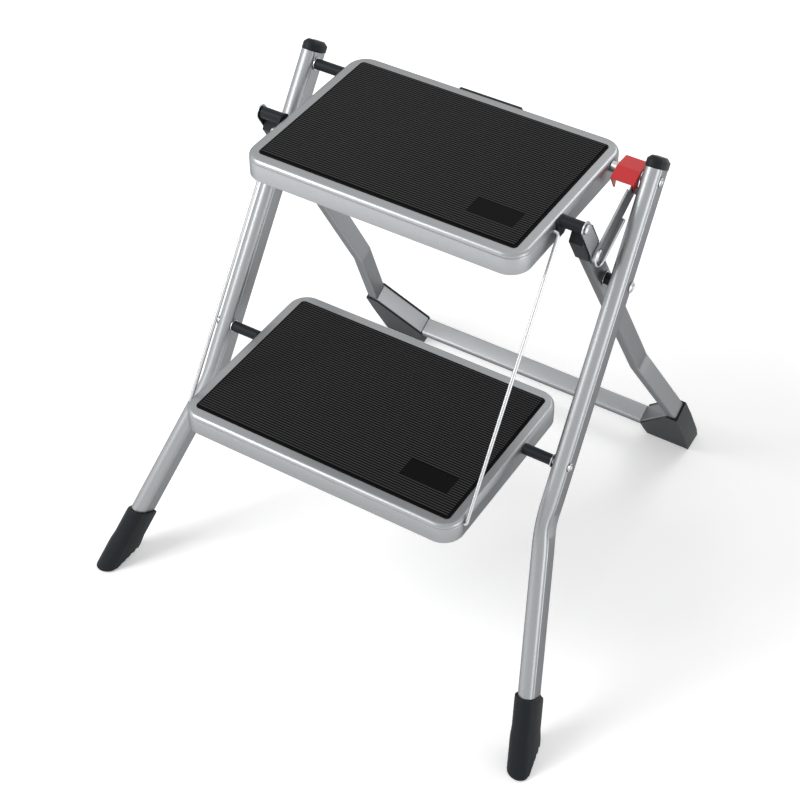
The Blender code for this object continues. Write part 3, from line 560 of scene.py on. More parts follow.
def loft(rings, closed=False):
    """Points and faces through rings of equal count; open ends are filled."""
    rings = np.asarray(rings, float)
    rows, columns = rings.shape[:2]
    faces = grid_faces(rows, columns, wrap_rows=closed)
    if not closed:
        faces.append(list(range(columns)))
        faces.append([(rows - 1) * columns + j for j in range(columns)])
    return rings.reshape(-1, 3), faces


def mirrored(points, side):
    """The right side's points, or their mirror image for the left side."""
    return np.asarray(points) * np.array([float(side), 1.0, 1.0])


def front_point(s, n, x):
    """Points s down the front legs and n behind their line, at x."""
    s, n, x = np.broadcast_arrays(s, n, x)
    y = TOP_AXLE[1] - s * math.sin(FRONT_LEAN) + n * math.cos(FRONT_LEAN)
    z = TOP_AXLE[2] - s * math.cos(FRONT_LEAN) - n * math.sin(FRONT_LEAN)
    return np.stack([x, y, z], axis=-1)


def rear_point(s, n, x):
    """Points s down the rear legs and n behind their line, at x."""
    s, n, x = np.broadcast_arrays(s, n, x)
    y = SCISSOR[1] + s * math.sin(REAR_LEAN) + n * math.cos(REAR_LEAN)
    z = SCISSOR[2] - s * math.cos(REAR_LEAN) + n * math.sin(REAR_LEAN)
    return np.stack([x, y, z], axis=-1)


def level_ring(low, high, inset, corner, steps, z):
    """A level corner-rounded outline, inset from the sides of a box."""
    half = 0.5 * (high - low) - inset
    outline = rounded_rectangle(half[0], half[1], corner - inset, steps)
    ring = np.full((len(outline), 3), float(z))
    ring[:, :2] = 0.5 * (low + high)[:2] + outline
    return ring


def rounded_rectangle(half_x, half_y, radius, steps):
    """Corner-rounded outline about the origin, as an array of points."""
    t = np.linspace(0.0, 0.5 * math.pi, steps + 1)
    corners = []
    for sx, sy, start in ((1, 1, 0.0), (-1, 1, 0.5), (-1, -1, 1.0), (1, -1, 1.5)):
        angle = t + start * math.pi
        x = sx * (half_x - radius) + radius * np.cos(angle)
        y = sy * (half_y - radius) + radius * np.sin(angle)
        corners.append(np.stack([x, y], axis=-1))
    return np.concatenate(corners)


def leg_section(grow=0.0):
    """The front leg's outline as (across, n): a half-ellipse nose and a flat-sided back."""
    t = np.linspace(0.0, math.pi, LEG_NOSE_STEPS + 1)
    nose = np.stack(
        [LEG_NOSE_HALF_WIDTH * np.cos(t), LEG_NOSE_START - LEG_NOSE_DEPTH * np.sin(t)],
        axis=-1,
    )
    turn = np.linspace(0.0, 0.5 * math.pi, 7)
    radius = LEG_BACK_ROUNDING
    corner_x = LEG_HALF_WIDTH - radius
    corner_n = LEG_BACK - radius
    left = np.stack([-corner_x - radius * np.cos(turn), corner_n + radius * np.sin(turn)], -1)
    right = np.stack([corner_x + radius * np.sin(turn), corner_n + radius * np.cos(turn)], -1)
    crease = LEG_NOSE_START + LEG_CREASE
    sides = ([[-LEG_HALF_WIDTH, crease]], left, right, [[LEG_HALF_WIDTH, crease]])
    outline = np.concatenate([nose, *sides])
    scale = [(LEG_HALF_WIDTH + grow) / LEG_HALF_WIDTH, (LEG_BACK + grow) / LEG_BACK]
    return outline * np.array(scale)


def fillet(points, radii, steps):
    """A path with its inner corners turned into arcs."""
    path = [np.array(points[0], float)]
    for corner, before, after, radius in zip(points[1:-1], points, points[2:], radii):
        corner = np.array(corner, float)
        back = np.array(before, float) - corner
        ahead = np.array(after, float) - corner
        back /= np.linalg.norm(back)
        ahead /= np.linalg.norm(ahead)
        turn = math.pi - math.acos(np.clip(np.dot(back, ahead), -1.0, 1.0))
        inward = (back + ahead) / np.linalg.norm(back + ahead)
        centre = corner + inward * radius / math.cos(turn / 2.0)
        reach = radius * math.tan(turn / 2.0)
        start = corner + back * reach - centre
        end = corner + ahead * reach - centre
        for t in np.linspace(0.0, 1.0, steps + 1):
            weights = math.sin((1.0 - t) * turn), math.sin(t * turn)
            path.append(centre + (weights[0] * start + weights[1] * end) / math.sin(turn))
    path.append(np.array(points[-1], float))
    return np.array(path)


def refine(path, spacing, near, reach):
    """Adds path points every spacing within reach of the depths in near."""
    found = [path[0]]
    for a, b in zip(path[:-1], path[1:]):
        close = any(min(a[1], b[1]) - reach < s < max(a[1], b[1]) + reach for s in near)
        count = max(1, int(np.linalg.norm(b - a) / spacing)) if close else 1
        count = min(count, 40)
        for k in range(1, count + 1):
            found.append(a + (b - a) * k / count)
    return np.array(found)


def tangents(path):
    """Unit directions along a path."""
    steps = np.diff(path, axis=0)
    steps /= np.linalg.norm(steps, axis=1)[:, None]
    mean = np.concatenate([steps[:1], steps[:-1] + steps[1:], steps[-1:]])
    return mean / np.linalg.norm(mean, axis=1)[:, None]


def creased(path, corners, depth, length):
    """Growth of a section along a path: 1, less depth times a bell curve at each corner."""
    growth = np.ones(len(path))
    for corner in corners:
        distance = np.linalg.norm(path - np.asarray(corner), axis=1)
        distance = distance - distance.min()
        growth = growth - depth * np.exp(-((distance / length) ** 2))
    return growth


def planar_rings(path, place, section, dents, growth=None):
    """Section rings along (x, s) path points; dents hold (s, depth, length).

    A dent pushes the section's outer face in by depth times a bell curve of
    the distance along the leg, and fades towards the face's two edges.
    """
    direction = tangents(path)
    if growth is None:
        growth = np.ones(len(path))
    across = growth[:, None] * section[None, :, 0]
    n = growth[:, None] * section[None, :, 1]
    half = section[:, 0].max()
    deep = np.abs(section[:, 1]).max()
    start = DENT_START * half
    weight = np.clip((across - start) / (half - start), 0.0, 1.0)
    weight = weight * np.clip(DENT_SPREAD - (n / deep) ** 2, 0.0, 1.0)
    for s, depth, length in dents:
        bell = np.exp(-(((path[:, 1] - s) / length) ** 2))
        across = across - depth * bell[:, None] * weight
    s_grid = path[:, 1][:, None] - across * direction[:, 0][:, None]
    x_grid = path[:, 0][:, None] + across * direction[:, 1][:, None]
    return place(s_grid, n, x_grid)


def wire_rings(path, radius, segments=20):
    """Round rings square to a path, carried along it without twist."""
    directions = tangents(path)
    angles = np.linspace(0.0, 2.0 * math.pi, segments, endpoint=False)
    side = np.cross(directions[0], WIRE_SIDE)
    rings = []
    for point, along in zip(path, directions):
        side = side - along * np.dot(side, along)
        side = side / np.linalg.norm(side)
        other = np.cross(along, side)
        offset = np.cos(angles)[:, None] * side + np.sin(angles)[:, None] * other
        rings.append(point + radius * offset)
    return np.array(rings)


def lathe_x(centre, profile, segments):
    """Rings about an x-axis line, from (x, radius) pairs."""
    profile = np.asarray(profile, float)
    angles = np.linspace(0.0, 2.0 * math.pi, segments, endpoint=False)
    x = np.repeat(profile[:, :1], segments, axis=1)
    y = centre[1] + profile[:, 1:] * np.cos(angles)[None, :]
    z = centre[2] + profile[:, 1:] * np.sin(angles)[None, :]
    return np.stack([x, y, z], axis=-1)


def leg_x(s):
    """Centre of the right front leg above its bend."""
    return LEG_TOP_X + (LEG_BEND_X - LEG_TOP_X) * s / LEG_BEND_S


def splayed_x(s):
    """Centre of the right front leg below its bend."""
    return LEG_BEND_X + (s - LEG_BEND_S) * LEG_SPLAY


def refined(node, slot, body, edge=None):
    """A copy of a frame node with its flat faces joined and its edges rounded.

    The edges have the width of the edge property where no other is given.
    """
    mesh = frame["nodes"][node].data.copy()
    mesh.materials.clear()
    work = bmesh.new()
    work.from_mesh(mesh)
    bmesh.ops.remove_doubles(work, verts=work.verts, dist=WELD)
    bmesh.ops.dissolve_limit(
        work, angle_limit=math.radians(FLAT), verts=work.verts, edges=work.edges
    )
    work.to_mesh(mesh)
    work.free()
    mesh.name = node + "_look"
    piece = add_object(node + "_look", mesh)
    mesh.materials.append(look(slot))
    smooth(mesh, SHARP_COPY)
    bevel = piece.modifiers.new("edge", "BEVEL")
    bevel.width = sizes().edge if edge is None else edge
    bevel.segments = EDGE_SEGMENTS
    bevel.limit_method = "ANGLE"
    bevel.angle_limit = math.radians(SHARP_COPY)
    bevel.harden_normals = True
    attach(piece, body)
    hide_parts(node)
    return piece


def pierce(piece, cutters):
    """Cuts holes through a piece and removes the cutters."""
    made = []
    for points, faces in cutters:
        cutter = add_object("cutter", closed_mesh("cutter", points, faces))
        modifier = piece.modifiers.new("hole", "BOOLEAN")
        modifier.operation = "DIFFERENCE"
        modifier.solver = "EXACT"
        modifier.object = cutter
        made.append(cutter)
    bpy.context.view_layer.update()
    graph = bpy.context.evaluated_depsgraph_get()
    cut_mesh = bpy.data.meshes.new_from_object(piece.evaluated_get(graph))
    piece.modifiers.clear()
    piece.data = cut_mesh
    for cutter in made:
        bpy.data.objects.remove(cutter)
    smooth(piece.data, SHARP)


# Treads and mats


def pan_rings(low, high):
    """Rings of a pressed pan, from under its deck down inside the skirt and up outside.

    The deck's edge is a quarter circle, and a fine groove runs round below it.
    """
    steps = sizes().corner_steps
    height = high[2] - low[2]
    inner = [(TREAD_EDGE + TREAD_UNDER, -SHEET)]
    for t in np.linspace(0.0, 0.5 * math.pi, 5):
        inset = SHEET + (TREAD_EDGE - SHEET + TREAD_INNER_EDGE) * (1.0 - math.sin(t))
        inner.append((inset, -TREAD_EDGE + (TREAD_EDGE - SHEET) * math.cos(t)))
    inner.append((SHEET, SKIRT_INNER_LIP - height))
    inner.append((SHEET * 0.5, -height))
    outer = [(0.0, SKIRT_OUTER_LIP - height)]
    outer += [(inset, -TREAD_EDGE - depth) for inset, depth in TREAD_GROOVE]
    for t in np.linspace(0.0, 0.5 * math.pi, 9):
        inset = TREAD_STEP_BACK + (TREAD_EDGE - TREAD_STEP_BACK) * (1.0 - math.cos(t))
        outer.append((inset, -TREAD_EDGE * (1.0 - math.sin(t))))
    return [
        level_ring(low, high, inset, TREAD_CORNER, steps, high[2] + drop)
        for inset, drop in inner + outer
    ]


def make_tread(node, body, holes):
    """A tread of one pressed sheet with round holes through its skirts."""
    low, high = node_box(node)
    points, faces = loft(pan_rings(low, high))
    piece = new_piece(node + "_look", points, faces, "silver_paint", body, [node])
    cutters = []
    for centre, radius in holes:
        for side in (1.0, -1.0):
            ends = side * (high[0] - HOLE_INSIDE), side * (high[0] + HOLE_OUTSIDE)
            cutters.append(loft(lathe_x(centre, [(x, radius) for x in ends], 24)))
    pierce(piece, cutters)


def mat_base(low, high):
    """Rings of the mat's plain sheet, with a rounded upper edge."""
    top = high[2] - MAT_FLOOR
    levels = [(0.0, low[2]), *((inset, top - drop) for inset, drop in MAT_EDGE)]
    return [
        level_ring(low, high, inset, MAT_CORNER, MAT_CORNER_STEPS, z) for inset, z in levels
    ]


def rib_profile(way):
    """Height share across one rib: a round top over two steep sides, and a narrow groove.

    It is the sine of the way through the rib, less its start, cut off at
    nought and one, and its root makes the top round.
    """
    wave = np.sin(math.pi * (way % 1.0))
    steep = np.clip((wave - RIB_FOOT) / RIB_SIDE, 0.0, 1.0)
    return np.sqrt(steep) * (1.0 - RIB_CROWN + RIB_CROWN * wave)


def rib_sheet(low, high, blank, pitch, height):
    """A closed sheet whose top rises in ribs along x and is level over the blank.

    Each rib drops to the floor between the ribs at both of its ends, and
    near the mat's corners the ribs get shorter as the rounded outline does.
    """
    half_y = 0.5 * (high[1] - low[1]) - MAT_MARGIN
    half_x = 0.5 * (high[0] - low[0]) - MAT_MARGIN
    middle = 0.5 * (low + high)
    count = int(round(2.0 * half_y / pitch))
    way = np.arange(count * RIB_STEPS + 1) / RIB_STEPS
    y = -half_y + 2.0 * half_y * way / count
    lift = rib_profile(way) * height
    radius = max(MAT_CORNER - MAT_MARGIN, 1.0)
    over = np.clip(np.abs(y) - (half_y - radius), 0.0, radius)
    row_half = half_x - radius + np.sqrt(radius**2 - over**2)
    (blank_x0, blank_y0), (blank_x1, blank_y1) = blank
    whole = np.ones(len(y))
    x = np.stack(
        [
            -row_half,
            -row_half + RIB_END,
            whole * blank_x0,
            whole * (blank_x0 + MAT_PANEL_EDGE),
            whole * (blank_x1 - MAT_PANEL_EDGE),
            whole * blank_x1,
            row_half - RIB_END,
            row_half,
        ],
        axis=-1,
    )
    inside = (y + middle[1] > blank_y0) & (y + middle[1] < blank_y1)
    floor_z = high[2] - MAT_FLOOR
    mask = np.ones_like(x)
    mask[:, 0] = 0.0
    mask[:, -1] = 0.0
    z = floor_z + lift[:, None] * mask
    z[inside, 3] = high[2] - MAT_PANEL
    z[inside, 4] = high[2] - MAT_PANEL
    columns = x.shape[1]
    y_grid = np.repeat(middle[1] + y[:, None], columns, axis=1)
    top = np.stack([middle[0] + x, y_grid, z], axis=-1)
    under = top.copy()
    under[:, :, 2] = floor_z - RIB_SUNK
    rows = len(y)
    total = rows * columns
    faces = grid_faces(rows, columns, wrap_columns=False)
    faces += [[total + i for i in face[::-1]] for face in faces]
    edge = list(range(columns))
    edge += [r * columns + columns - 1 for r in range(1, rows)]
    edge += [(rows - 1) * columns + c for c in range(columns - 2, -1, -1)]
    edge += [r * columns for r in range(rows - 2, 0, -1)]
    for a, b in zip(edge, edge[1:] + edge[:1]):
        faces.append([b, a, total + a, total + b])
    points = np.concatenate([top.reshape(-1, 3), under.reshape(-1, 3)])
    return points, faces


def make_mat(node, body, blank):
    """A rubber mat: a plain sheet and the ribbed field on it."""
    low, high = node_box(node)
    points, faces = loft(mat_base(low, high))
    new_piece(node + "_sheet", points, faces, "black_rubber", body, [node])
    pitch = sizes().rib_pitch / MM
    height = sizes().rib_height / MM
    points, faces = rib_sheet(low, high, blank, pitch, height)
    ribs = new_piece(node + "_ribs", points, faces, "black_rubber", body, [], SHARP_RIB)
    # The ribs get the rubber with a painted highlight on their tops.
    ribs.data.materials[0] = rubber_with_rib_highlight(high[2])


# Front frame


def make_leg(side, word):
    """A front leg: the D-shaped tube along its bent line, pressed in at the bend."""
    ends = [
        [leg_x(LEG_TOP_S), LEG_TOP_S],
        [LEG_BEND_X, LEG_BEND_S],
        [splayed_x(LEG_END_S), LEG_END_S],
    ]
    path = fillet(ends, [LEG_BEND_RADIUS], LEG_BEND_STEPS)
    path = refine(path, LEG_SPACING, [LEG_BEND_S], LEG_SPACING_REACH)
    dents = [(LEG_BEND_S, sizes().dimple / MM, LEG_DENT_LENGTH)]
    outside = planar_rings(path, front_point, leg_section(), dents)
    inside = planar_rings(path, front_point, leg_section(-LEG_WALL), dents)
    rings = np.concatenate([outside, inside[::-1]])
    points, faces = loft(rings, closed=True)
    name = "front_leg_" + word
    points = mirrored(points, side)
    new_piece(name + "_look", points, faces, "silver_paint", "front_frame", [name], SHARP_TUBE)


def make_cap(side, word):
    """The plug cap on a front leg, its top chamfered on all sides."""
    low_s = LEG_TOP_S - CAP_GAP
    top_s = low_s - CAP_HEIGHT
    levels = [
        (CAP_PLUG_S, -LEG_WALL - CAP_GAP),
        (low_s, -LEG_WALL - CAP_GAP),
        (low_s, 0.0),
        (low_s - CAP_OVERHANG, CAP_OVERHANG),
        *((top_s + drop, grow) for drop, grow in CAP_CHAMFER),
    ]
    rings = []
    for s, grow in levels:
        section = leg_section(grow)
        rings.append(front_point(s, section[:, 1], leg_x(s) + section[:, 0]))
    points, faces = loft(rings)
    name = "leg_cap_" + word
    points = mirrored(points, side)
    new_piece(name + "_look", points, faces, "black_plastic", "front_frame", [name])


def sole_s(n):
    """How far down the leg a boot's sole is, n behind the leg's line.

    The sole is flat on the floor in front of SOLE_FLAT_Y and rises behind it.
    """
    flat = (TOP_AXLE[2] - n * math.sin(FRONT_LEAN)) / math.cos(FRONT_LEAN)
    reach = TOP_AXLE[1] + n * math.cos(FRONT_LEAN) - SOLE_FLAT_Y
    slope = math.cos(FRONT_LEAN) - SOLE_RISE * math.sin(FRONT_LEAN)
    rising = (TOP_AXLE[2] - n * math.sin(FRONT_LEAN) - SOLE_RISE * reach) / slope
    return np.minimum(flat, rising)


def boot_scale(s):
    """Growth of the boot's outline down the leg, with a soft flare near the floor."""
    t = np.clip((s - BOOT_FLARE_S) / BOOT_FLARE_LENGTH, 0.0, 1.0)
    flare = (BOOT_FLARE - 1.0) * t * t * (3.0 - 2.0 * t)
    return 1.0 + BOOT_SHANK_GROWTH * (1.0 - t) + flare


def make_boot(side, word):
    """A rubber boot on a front leg: a rounded lip, a flared shank and a rounded sole."""
    grow = np.array([BOOT_HALF_WIDTH / LEG_HALF_WIDTH, BOOT_HALF_DEPTH / LEG_BACK])
    outline = leg_section() * grow
    bend = np.array([[LEG_BEND_X, LEG_BEND_S], [splayed_x(LEG_END_S), LEG_END_S]])
    tx, ts = tangents(bend)[0]
    bore = leg_section(BOOT_BORE_GAP)
    bore_s = LEG_END_S + BOOT_BORE_GAP
    rings = []
    for s, share in ((bore_s, RING_CENTRE), (bore_s, 1.0), (BOOT_TOP_S, 1.0)):
        across, n = (bore * share).T
        rings.append(front_point(s - across * tx, n, splayed_x(s) + across * ts))
    for t in np.linspace(0.0, 0.5 * math.pi, 5):
        s = BOOT_TOP_S + BOOT_LIP * (1.0 - math.sin(t))
        across, n = (outline * (1.0 - BOOT_LIP * (1.0 - math.cos(t)) / BOOT_HALF_WIDTH)).T
        rings.insert(3, front_point(s, n, splayed_x(s) + across))
    start = BOOT_TOP_S + BOOT_LIP
    end = sole_s(outline[:, 1]) - SOLE_ROUNDING
    for u in np.linspace(0.0, 1.0, BOOT_STEPS + 1)[1:]:
        s = start + u * (end - start)
        scale = boot_scale(s)
        rings.append(front_point(s, outline[:, 1] * scale, splayed_x(s) + outline[:, 0] * scale))
    for t in np.linspace(0.0, 0.5 * math.pi, 7)[1:]:
        inset = 1.0 - SOLE_ROUNDING * (1.0 - math.cos(t)) / BOOT_HALF_WIDTH
        across, n = (outline * inset * BOOT_FLARE).T
        s = sole_s(n) - SOLE_ROUNDING * (1.0 - math.sin(t))
        rings.append(front_point(s, n, splayed_x(s) + across))
    for share in SOLE_SHARES:
        across, n = (outline * share * BOOT_FLARE).T
        s = sole_s(n)
        rings.append(front_point(s, n, splayed_x(s) + across))
    points, faces = loft(rings)
    name = "leg_boot_" + word
    points = mirrored(points, side)
    piece = new_piece(name + "_look", points, faces, "black_plastic", "front_frame", [name])
    grooves = []
    for k in range(SOLE_GROOVES):
        y = SOLE_FLAT_Y + SOLE_GROOVE_PITCH * (k + 1) - SOLE_GROOVE_RADIUS
        centre = (0.0, y, SOLE_RISE * (y - SOLE_FLAT_Y) + SOLE_GROOVE_LIFT)
        profile = [(side * x, SOLE_GROOVE_RADIUS) for x in SOLE_GROOVE_X]
        grooves.append(loft(lathe_x(centre, profile, 16)))
    pierce(piece, grooves)


def make_strut():
    """The lock strut and its rim.

    The strut is the frame's channel, whose depth falls in a straight line from its
    lower side to its upper side. The rim is a wire round the lower end and along the
    lower side, at the height of that line.
    """
    piece = refined("lock_strut", "silver_paint", "strut", FINE_EDGE)
    along = (TOP_AXLE - LINK_LOW)[1:]
    length = np.linalg.norm(along)
    along = along / length
    up = np.array([-along[1], along[0]])
    places = np.empty(len(piece.data.vertices) * 3)
    piece.data.vertices.foreach_get("co", places)
    places = places.reshape(-1, 3) / MM
    inner = places[:, 0].min()

    def top_of(side):
        return inner + STRUT_DEPTH - STRUT_DEPTH_FALL * side / STRUT_HALF

    limit = top_of((places[:, 1:] - LINK_LOW[1:]) @ up)
    places[:, 0] = np.minimum(places[:, 0], limit)
    piece.data.vertices.foreach_set("co", (places * MM).ravel())
    piece.data.update()
    angles = np.linspace(0.5 * math.pi, 1.5 * math.pi, 17)
    reach = STRUT_HALF - STRUT_RIM
    pairs = [(reach * math.cos(t), reach * math.sin(t)) for t in angles]
    pairs.append((length - STRUT_RIM_END, -reach))
    path = [[top_of(c), *(LINK_LOW[1:] + a * along + c * up)] for a, c in pairs]
    points, faces = loft(wire_rings(np.array(path), STRUT_RIM, 12))
    # The rim is in bright zinc, brighter than the strut's paint: partly the bare metal of the
    # flange's edge, and partly a painted highlight along that edge, which faces the leg and
    # would be shaded.
    new_piece("lock_strut_rim", points, faces, "bright_zinc", "strut", [])


class STOOL_OT_treads(bpy.types.Operator):
    """Builds both treads, their mats and the hand grip"""

    bl_idname = "stool.treads"
    bl_label = "Treads"

    def execute(self, context):
        top_holes = [(TOP_AXLE, AXLE_HOLE), (TOP_HOOK, ROD_HOLE), (SPIGOT, SPIGOT_HOLE)]
        lower_holes = [(LOWER_AXLE, AXLE_HOLE), (LOWER_HOOK, ROD_HOLE)]
        make_tread("top_tread", "top_step", top_holes)
        make_tread("lower_tread", "lower_step", lower_holes)
        make_mat("top_mat", "top_step", TOP_BLANK)
        make_mat("lower_mat", "lower_step", LOWER_BLANK)
        refined("hand_grip", "black_plastic", "top_step", GRIP_EDGE)
        return {"FINISHED"}


class STOOL_OT_front_frame(bpy.types.Operator):
    """Builds the front legs, their caps and boots, the axles and the scissor pivots"""

    bl_idname = "stool.front_frame"
    bl_label = "Front frame"

    def execute(self, context):
        for side, word in SIDES:
            make_leg(side, word)
            make_cap(side, word)
            make_boot(side, word)
            for name, slot in (
                ("lower_sleeve_", "black_plastic"),
                ("lower_washer_", "bright_zinc"),
                ("scissor_pin_", "bright_zinc"),
                ("scissor_bush_", "black_plastic"),
                ("scissor_washer_", "bright_zinc"),
            ):
                refined(name + word, slot, "front_frame", FINE_EDGE)
        refined("top_sleeve_left", "black_plastic", "front_frame", FINE_EDGE)
        for name in ("top_axle", "lower_axle", "top_washer_left"):
            refined(name, "bright_zinc", "front_frame", FINE_EDGE)
        for name in ("top_spacer_inner_right", "top_spacer_outer_right"):
            refined(name, "bright_zinc", "front_frame", SPACER_EDGE)
        return {"FINISHED"}


class STOOL_OT_rear_frame(bpy.types.Operator):
    """Builds the rear frame, its feet and its caps"""

    bl_idname = "stool.rear_frame"
    bl_label = "Rear frame"

    def execute(self, context):
        right = [list(p) for p in (REAR_TOP, REAR_BEND, REAR_KNEE, REAR_BAR)]
        left = [[-x, s] for x, s in right[::-1]]
        radii = [REAR_BEND_RADIUS, *[REAR_KNEE_RADIUS] * 4, REAR_BEND_RADIUS]
        path = fillet(right + left, radii, REAR_BEND_STEPS)
        path = refine(path, REAR_SPACING, [REAR_BEND[1]], REAR_SPACING_REACH)
        outer = rounded_rectangle(
            REAR_HALF_WIDTH, REAR_HALF_DEPTH, REAR_CORNER, REAR_CORNER_STEPS
        )
        inner = rounded_rectangle(
            REAR_HALF_WIDTH - REAR_WALL,
            REAR_HALF_DEPTH - REAR_WALL,
            REAR_INNER_CORNER,
            REAR_CORNER_STEPS,
        )
        dents = [(REAR_BEND[1], REAR_DENT_SHARE * sizes().dimple / MM, REAR_DENT_LENGTH)]
        knees = right[2:] + left[:2]
        growth = creased(path, knees, REAR_CREASE_DEPTH, REAR_CREASE_LENGTH)
        outside = planar_rings(path, rear_point, outer, dents, growth)
        inside = planar_rings(path, rear_point, inner, dents, growth)
        rings = np.concatenate([outside, inside[::-1]])
        points, faces = loft(rings, closed=True)
        new_piece(
            "rear_frame_look",
            points,
            faces,
            "silver_paint",
            "rear_leg_frame",
            ["rear_frame"],
            SHARP_TUBE,
        )
        for _, word in SIDES:
            refined("rear_foot_" + word, "black_plastic", "rear_leg_frame", FOOT_EDGE)
            refined("rear_cap_" + word, "black_plastic", "rear_leg_frame", REAR_CAP_EDGE)
            refined("link_rivet_" + word, "bright_zinc", "rear_leg_frame", FINE_EDGE)
        return {"FINISHED"}


class STOOL_OT_links(bpy.types.Operator):
    """Builds the side links, their studs and bushes, the lock strut and its catch"""

    bl_idname = "stool.links"
    bl_label = "Links and lock"

    def execute(self, context):
        for _, word in SIDES:
            refined("link_plate_" + word, "bright_zinc", "link_" + word, FINE_EDGE)
            refined("link_stud_" + word, "bright_zinc", "link_" + word, FINE_EDGE)
            refined("link_bush_" + word, "black_plastic", "top_step")
        make_strut()
        refined("catch_pin", "bright_zinc", "strut", FINE_EDGE)
        refined("lock_catch", "red_plastic", "catch")
        return {"FINISHED"}


class STOOL_OT_rods(bpy.types.Operator):
    """Builds the two rods that keep the lower tread level with the top one"""

    bl_idname = "stool.rods"
    bl_label = "Levelling rods"

    def execute(self, context):
        corners = [
            [ROD_END_X, TOP_HOOK[1], TOP_HOOK[2]],
            [ROD_TOP_X, TOP_HOOK[1], TOP_HOOK[2]],
            [ROD_LOW_X, LOWER_HOOK[1], LOWER_HOOK[2]],
            [ROD_LOW_END_X, LOWER_HOOK[1], LOWER_HOOK[2]],
        ]
        path = fillet(corners, ROD_BENDS, ROD_BEND_STEPS)
        for side, word in SIDES:
            points, faces = loft(wire_rings(path, ROD_RADIUS))
            name = "level_rod_" + word
            points = mirrored(points, side)
            new_piece(name + "_look", points, faces, "bright_zinc", "rod_" + word, [name])
        return {"FINISHED"}


def add_light(name, place, aim, power, size):
    """A soft square light at a place, turned to its aim, both in metres."""
    data = bpy.data.lights.new(name, "AREA")
    data.energy = power
    data.size = size
    light = add_object(name, data)
    light.location = place
    direction = Vector(aim) - Vector(place)
    light.rotation_euler = direction.to_track_quat("-Z", "Y").to_euler()


def seen_directly(tree):
    """One where the camera, gloss or glass sees the surface, and nought for soft light."""
    path = tree.nodes.new("ShaderNodeLightPath")
    glossy = tree.nodes.new("ShaderNodeMath")
    glossy.operation = "MAXIMUM"
    clear = tree.nodes.new("ShaderNodeMath")
    clear.operation = "MAXIMUM"
    tree.links.new(path.outputs["Is Camera Ray"], glossy.inputs[0])
    tree.links.new(path.outputs["Is Glossy Ray"], glossy.inputs[1])
    tree.links.new(glossy.outputs[0], clear.inputs[0])
    tree.links.new(path.outputs["Is Transmission Ray"], clear.inputs[1])
    return clear.outputs[0]


def white_world():
    """White where the camera, gloss or glass sees it, and softer as a light."""
    world = bpy.data.worlds.new("white_room")
    world.use_nodes = True
    tree = world.node_tree
    tree.nodes.clear()
    ambient = tree.nodes.new("ShaderNodeBackground")
    ambient.inputs["Color"].default_value = WHITE
    ambient.inputs["Strength"].default_value = AMBIENT
    white = tree.nodes.new("ShaderNodeBackground")
    white.inputs["Color"].default_value = WHITE
    white.inputs["Strength"].default_value = 1.0
    mix = tree.nodes.new("ShaderNodeMixShader")
    output = tree.nodes.new("ShaderNodeOutputWorld")
    tree.links.new(seen_directly(tree), mix.inputs["Fac"])
    tree.links.new(ambient.outputs[0], mix.inputs[1])
    tree.links.new(white.outputs[0], mix.inputs[2])
    tree.links.new(mix.outputs[0], output.inputs["Surface"])
    bpy.context.scene.world = world


def floor_look():
    """Pale floor that keeps shadows and is lifted to white where the camera sees it."""
    found, shader = shader_of("floor_look")
    shader.inputs["Base Color"].default_value = (FLOOR_GREY, FLOOR_GREY, FLOOR_GREY, 1.0)
    shader.inputs["Roughness"].default_value = FLOOR_ROUGHNESS
    shader.inputs["Specular IOR Level"].default_value = 0.0
    shader.inputs["Emission Color"].default_value = WHITE
    tree = found.node_tree
    place = tree.nodes.new("ShaderNodeTexCoord")
    reach = tree.nodes.new("ShaderNodeVectorMath")
    reach.operation = "LENGTH"
    tree.links.new(place.outputs["Object"], reach.inputs[0])
    fade = tree.nodes.new("ShaderNodeMapRange")
    for name, value in zip(("From Min", "From Max", "To Min", "To Max"), FLOOR_LIFT):
        fade.inputs[name].default_value = value
    tree.links.new(reach.outputs["Value"], fade.inputs["Value"])
    lift = tree.nodes.new("ShaderNodeMath")
    lift.operation = "MULTIPLY"
    tree.links.new(fade.outputs["Result"], lift.inputs[1])
    tree.links.new(seen_directly(tree), lift.inputs[0])
    tree.links.new(lift.outputs[0], shader.inputs["Emission Strength"])
    return found


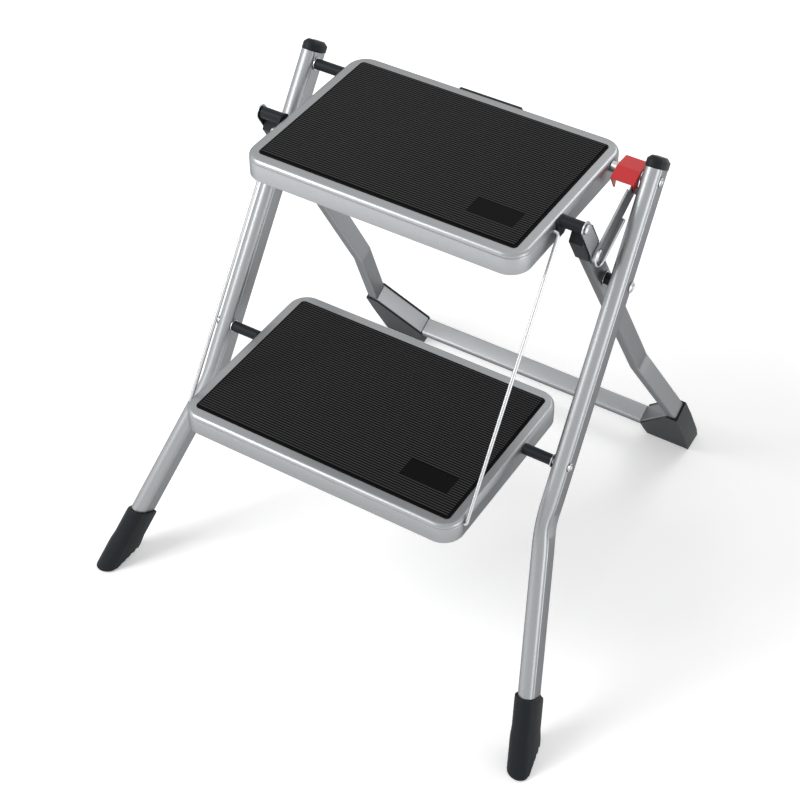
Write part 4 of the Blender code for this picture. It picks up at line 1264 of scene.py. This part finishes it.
class STOOL_OT_stage(bpy.types.Operator):
    """Adds the floor, the lights, the white background and the camera"""

    bl_idname = "stool.stage"
    bl_label = "Stage"

    def execute(self, context):
        scene = context.scene
        floor_mesh = bpy.data.meshes.new("floor")
        signs = ((-1, -1), (1, -1), (1, 1), (-1, 1))
        corners = [(x * FLOOR_REACH, y * FLOOR_REACH, 0) for x, y in signs]
        floor_mesh.from_pydata(corners, [], [[0, 1, 2, 3]])
        floor = add_object("floor", floor_mesh)
        floor_mesh.materials.append(floor_look())
        white_world()
        for lamp in LAMPS:
            add_light(*lamp)
        camera_data = bpy.data.cameras.new("camera")
        camera_data.lens = CAMERA_LENS
        camera_data.sensor_width = CAMERA_SENSOR
        camera = add_object("camera", camera_data)
        right = Vector(CAMERA_RIGHT).normalized()
        up = Vector(CAMERA_UP).normalized()
        back = right.cross(up)
        turn = Matrix((right, up, back)).transposed()
        camera.matrix_world = Matrix.Translation(Vector(CAMERA_PLACE) * MM) @ turn.to_4x4()
        scene.camera = camera
        scene.view_settings.view_transform = "Standard"
        return {"FINISHED"}


class STOOL_PT_panel(bpy.types.Panel):
    """Lists the stool's pieces and their sizes and colours"""

    bl_label = "Step stool"
    bl_idname = "STOOL_PT_panel"
    bl_space_type = "VIEW_3D"
    bl_region_type = "UI"
    bl_category = "Step stool"

    def draw(self, context):
        for group in (context.scene.stool_sizes, context.scene.stool_colours):
            column = self.layout.column(align=True)
            for name in group.bl_rna.properties.keys():
                if name not in ("rna_type", "name"):
                    column.prop(group, name)
        for operator in OPERATORS:
            self.layout.operator(operator.bl_idname)


OPERATORS = (
    STOOL_OT_treads,
    STOOL_OT_front_frame,
    STOOL_OT_rear_frame,
    STOOL_OT_links,
    STOOL_OT_rods,
    STOOL_OT_stage,
)
CLASSES = (StoolSizes, StoolColours, *OPERATORS, STOOL_PT_panel)


def register():
    """Adds the classes and their properties."""
    for found in CLASSES:
        bpy.utils.register_class(found)
    bpy.types.Scene.stool_sizes = PointerProperty(type=StoolSizes)
    bpy.types.Scene.stool_colours = PointerProperty(type=StoolColours)


def unregister():
    """Removes the classes and their properties."""
    del bpy.types.Scene.stool_colours
    del bpy.types.Scene.stool_sizes
    for found in reversed(CLASSES):
        bpy.utils.unregister_class(found)


def main():
    """Builds the whole scene in order."""
    register()
    bpy.ops.stool.treads()
    bpy.ops.stool.front_frame()
    bpy.ops.stool.rear_frame()
    bpy.ops.stool.links()
    bpy.ops.stool.rods()
    bpy.ops.stool.stage()


if __name__ == "__main__":
    main()
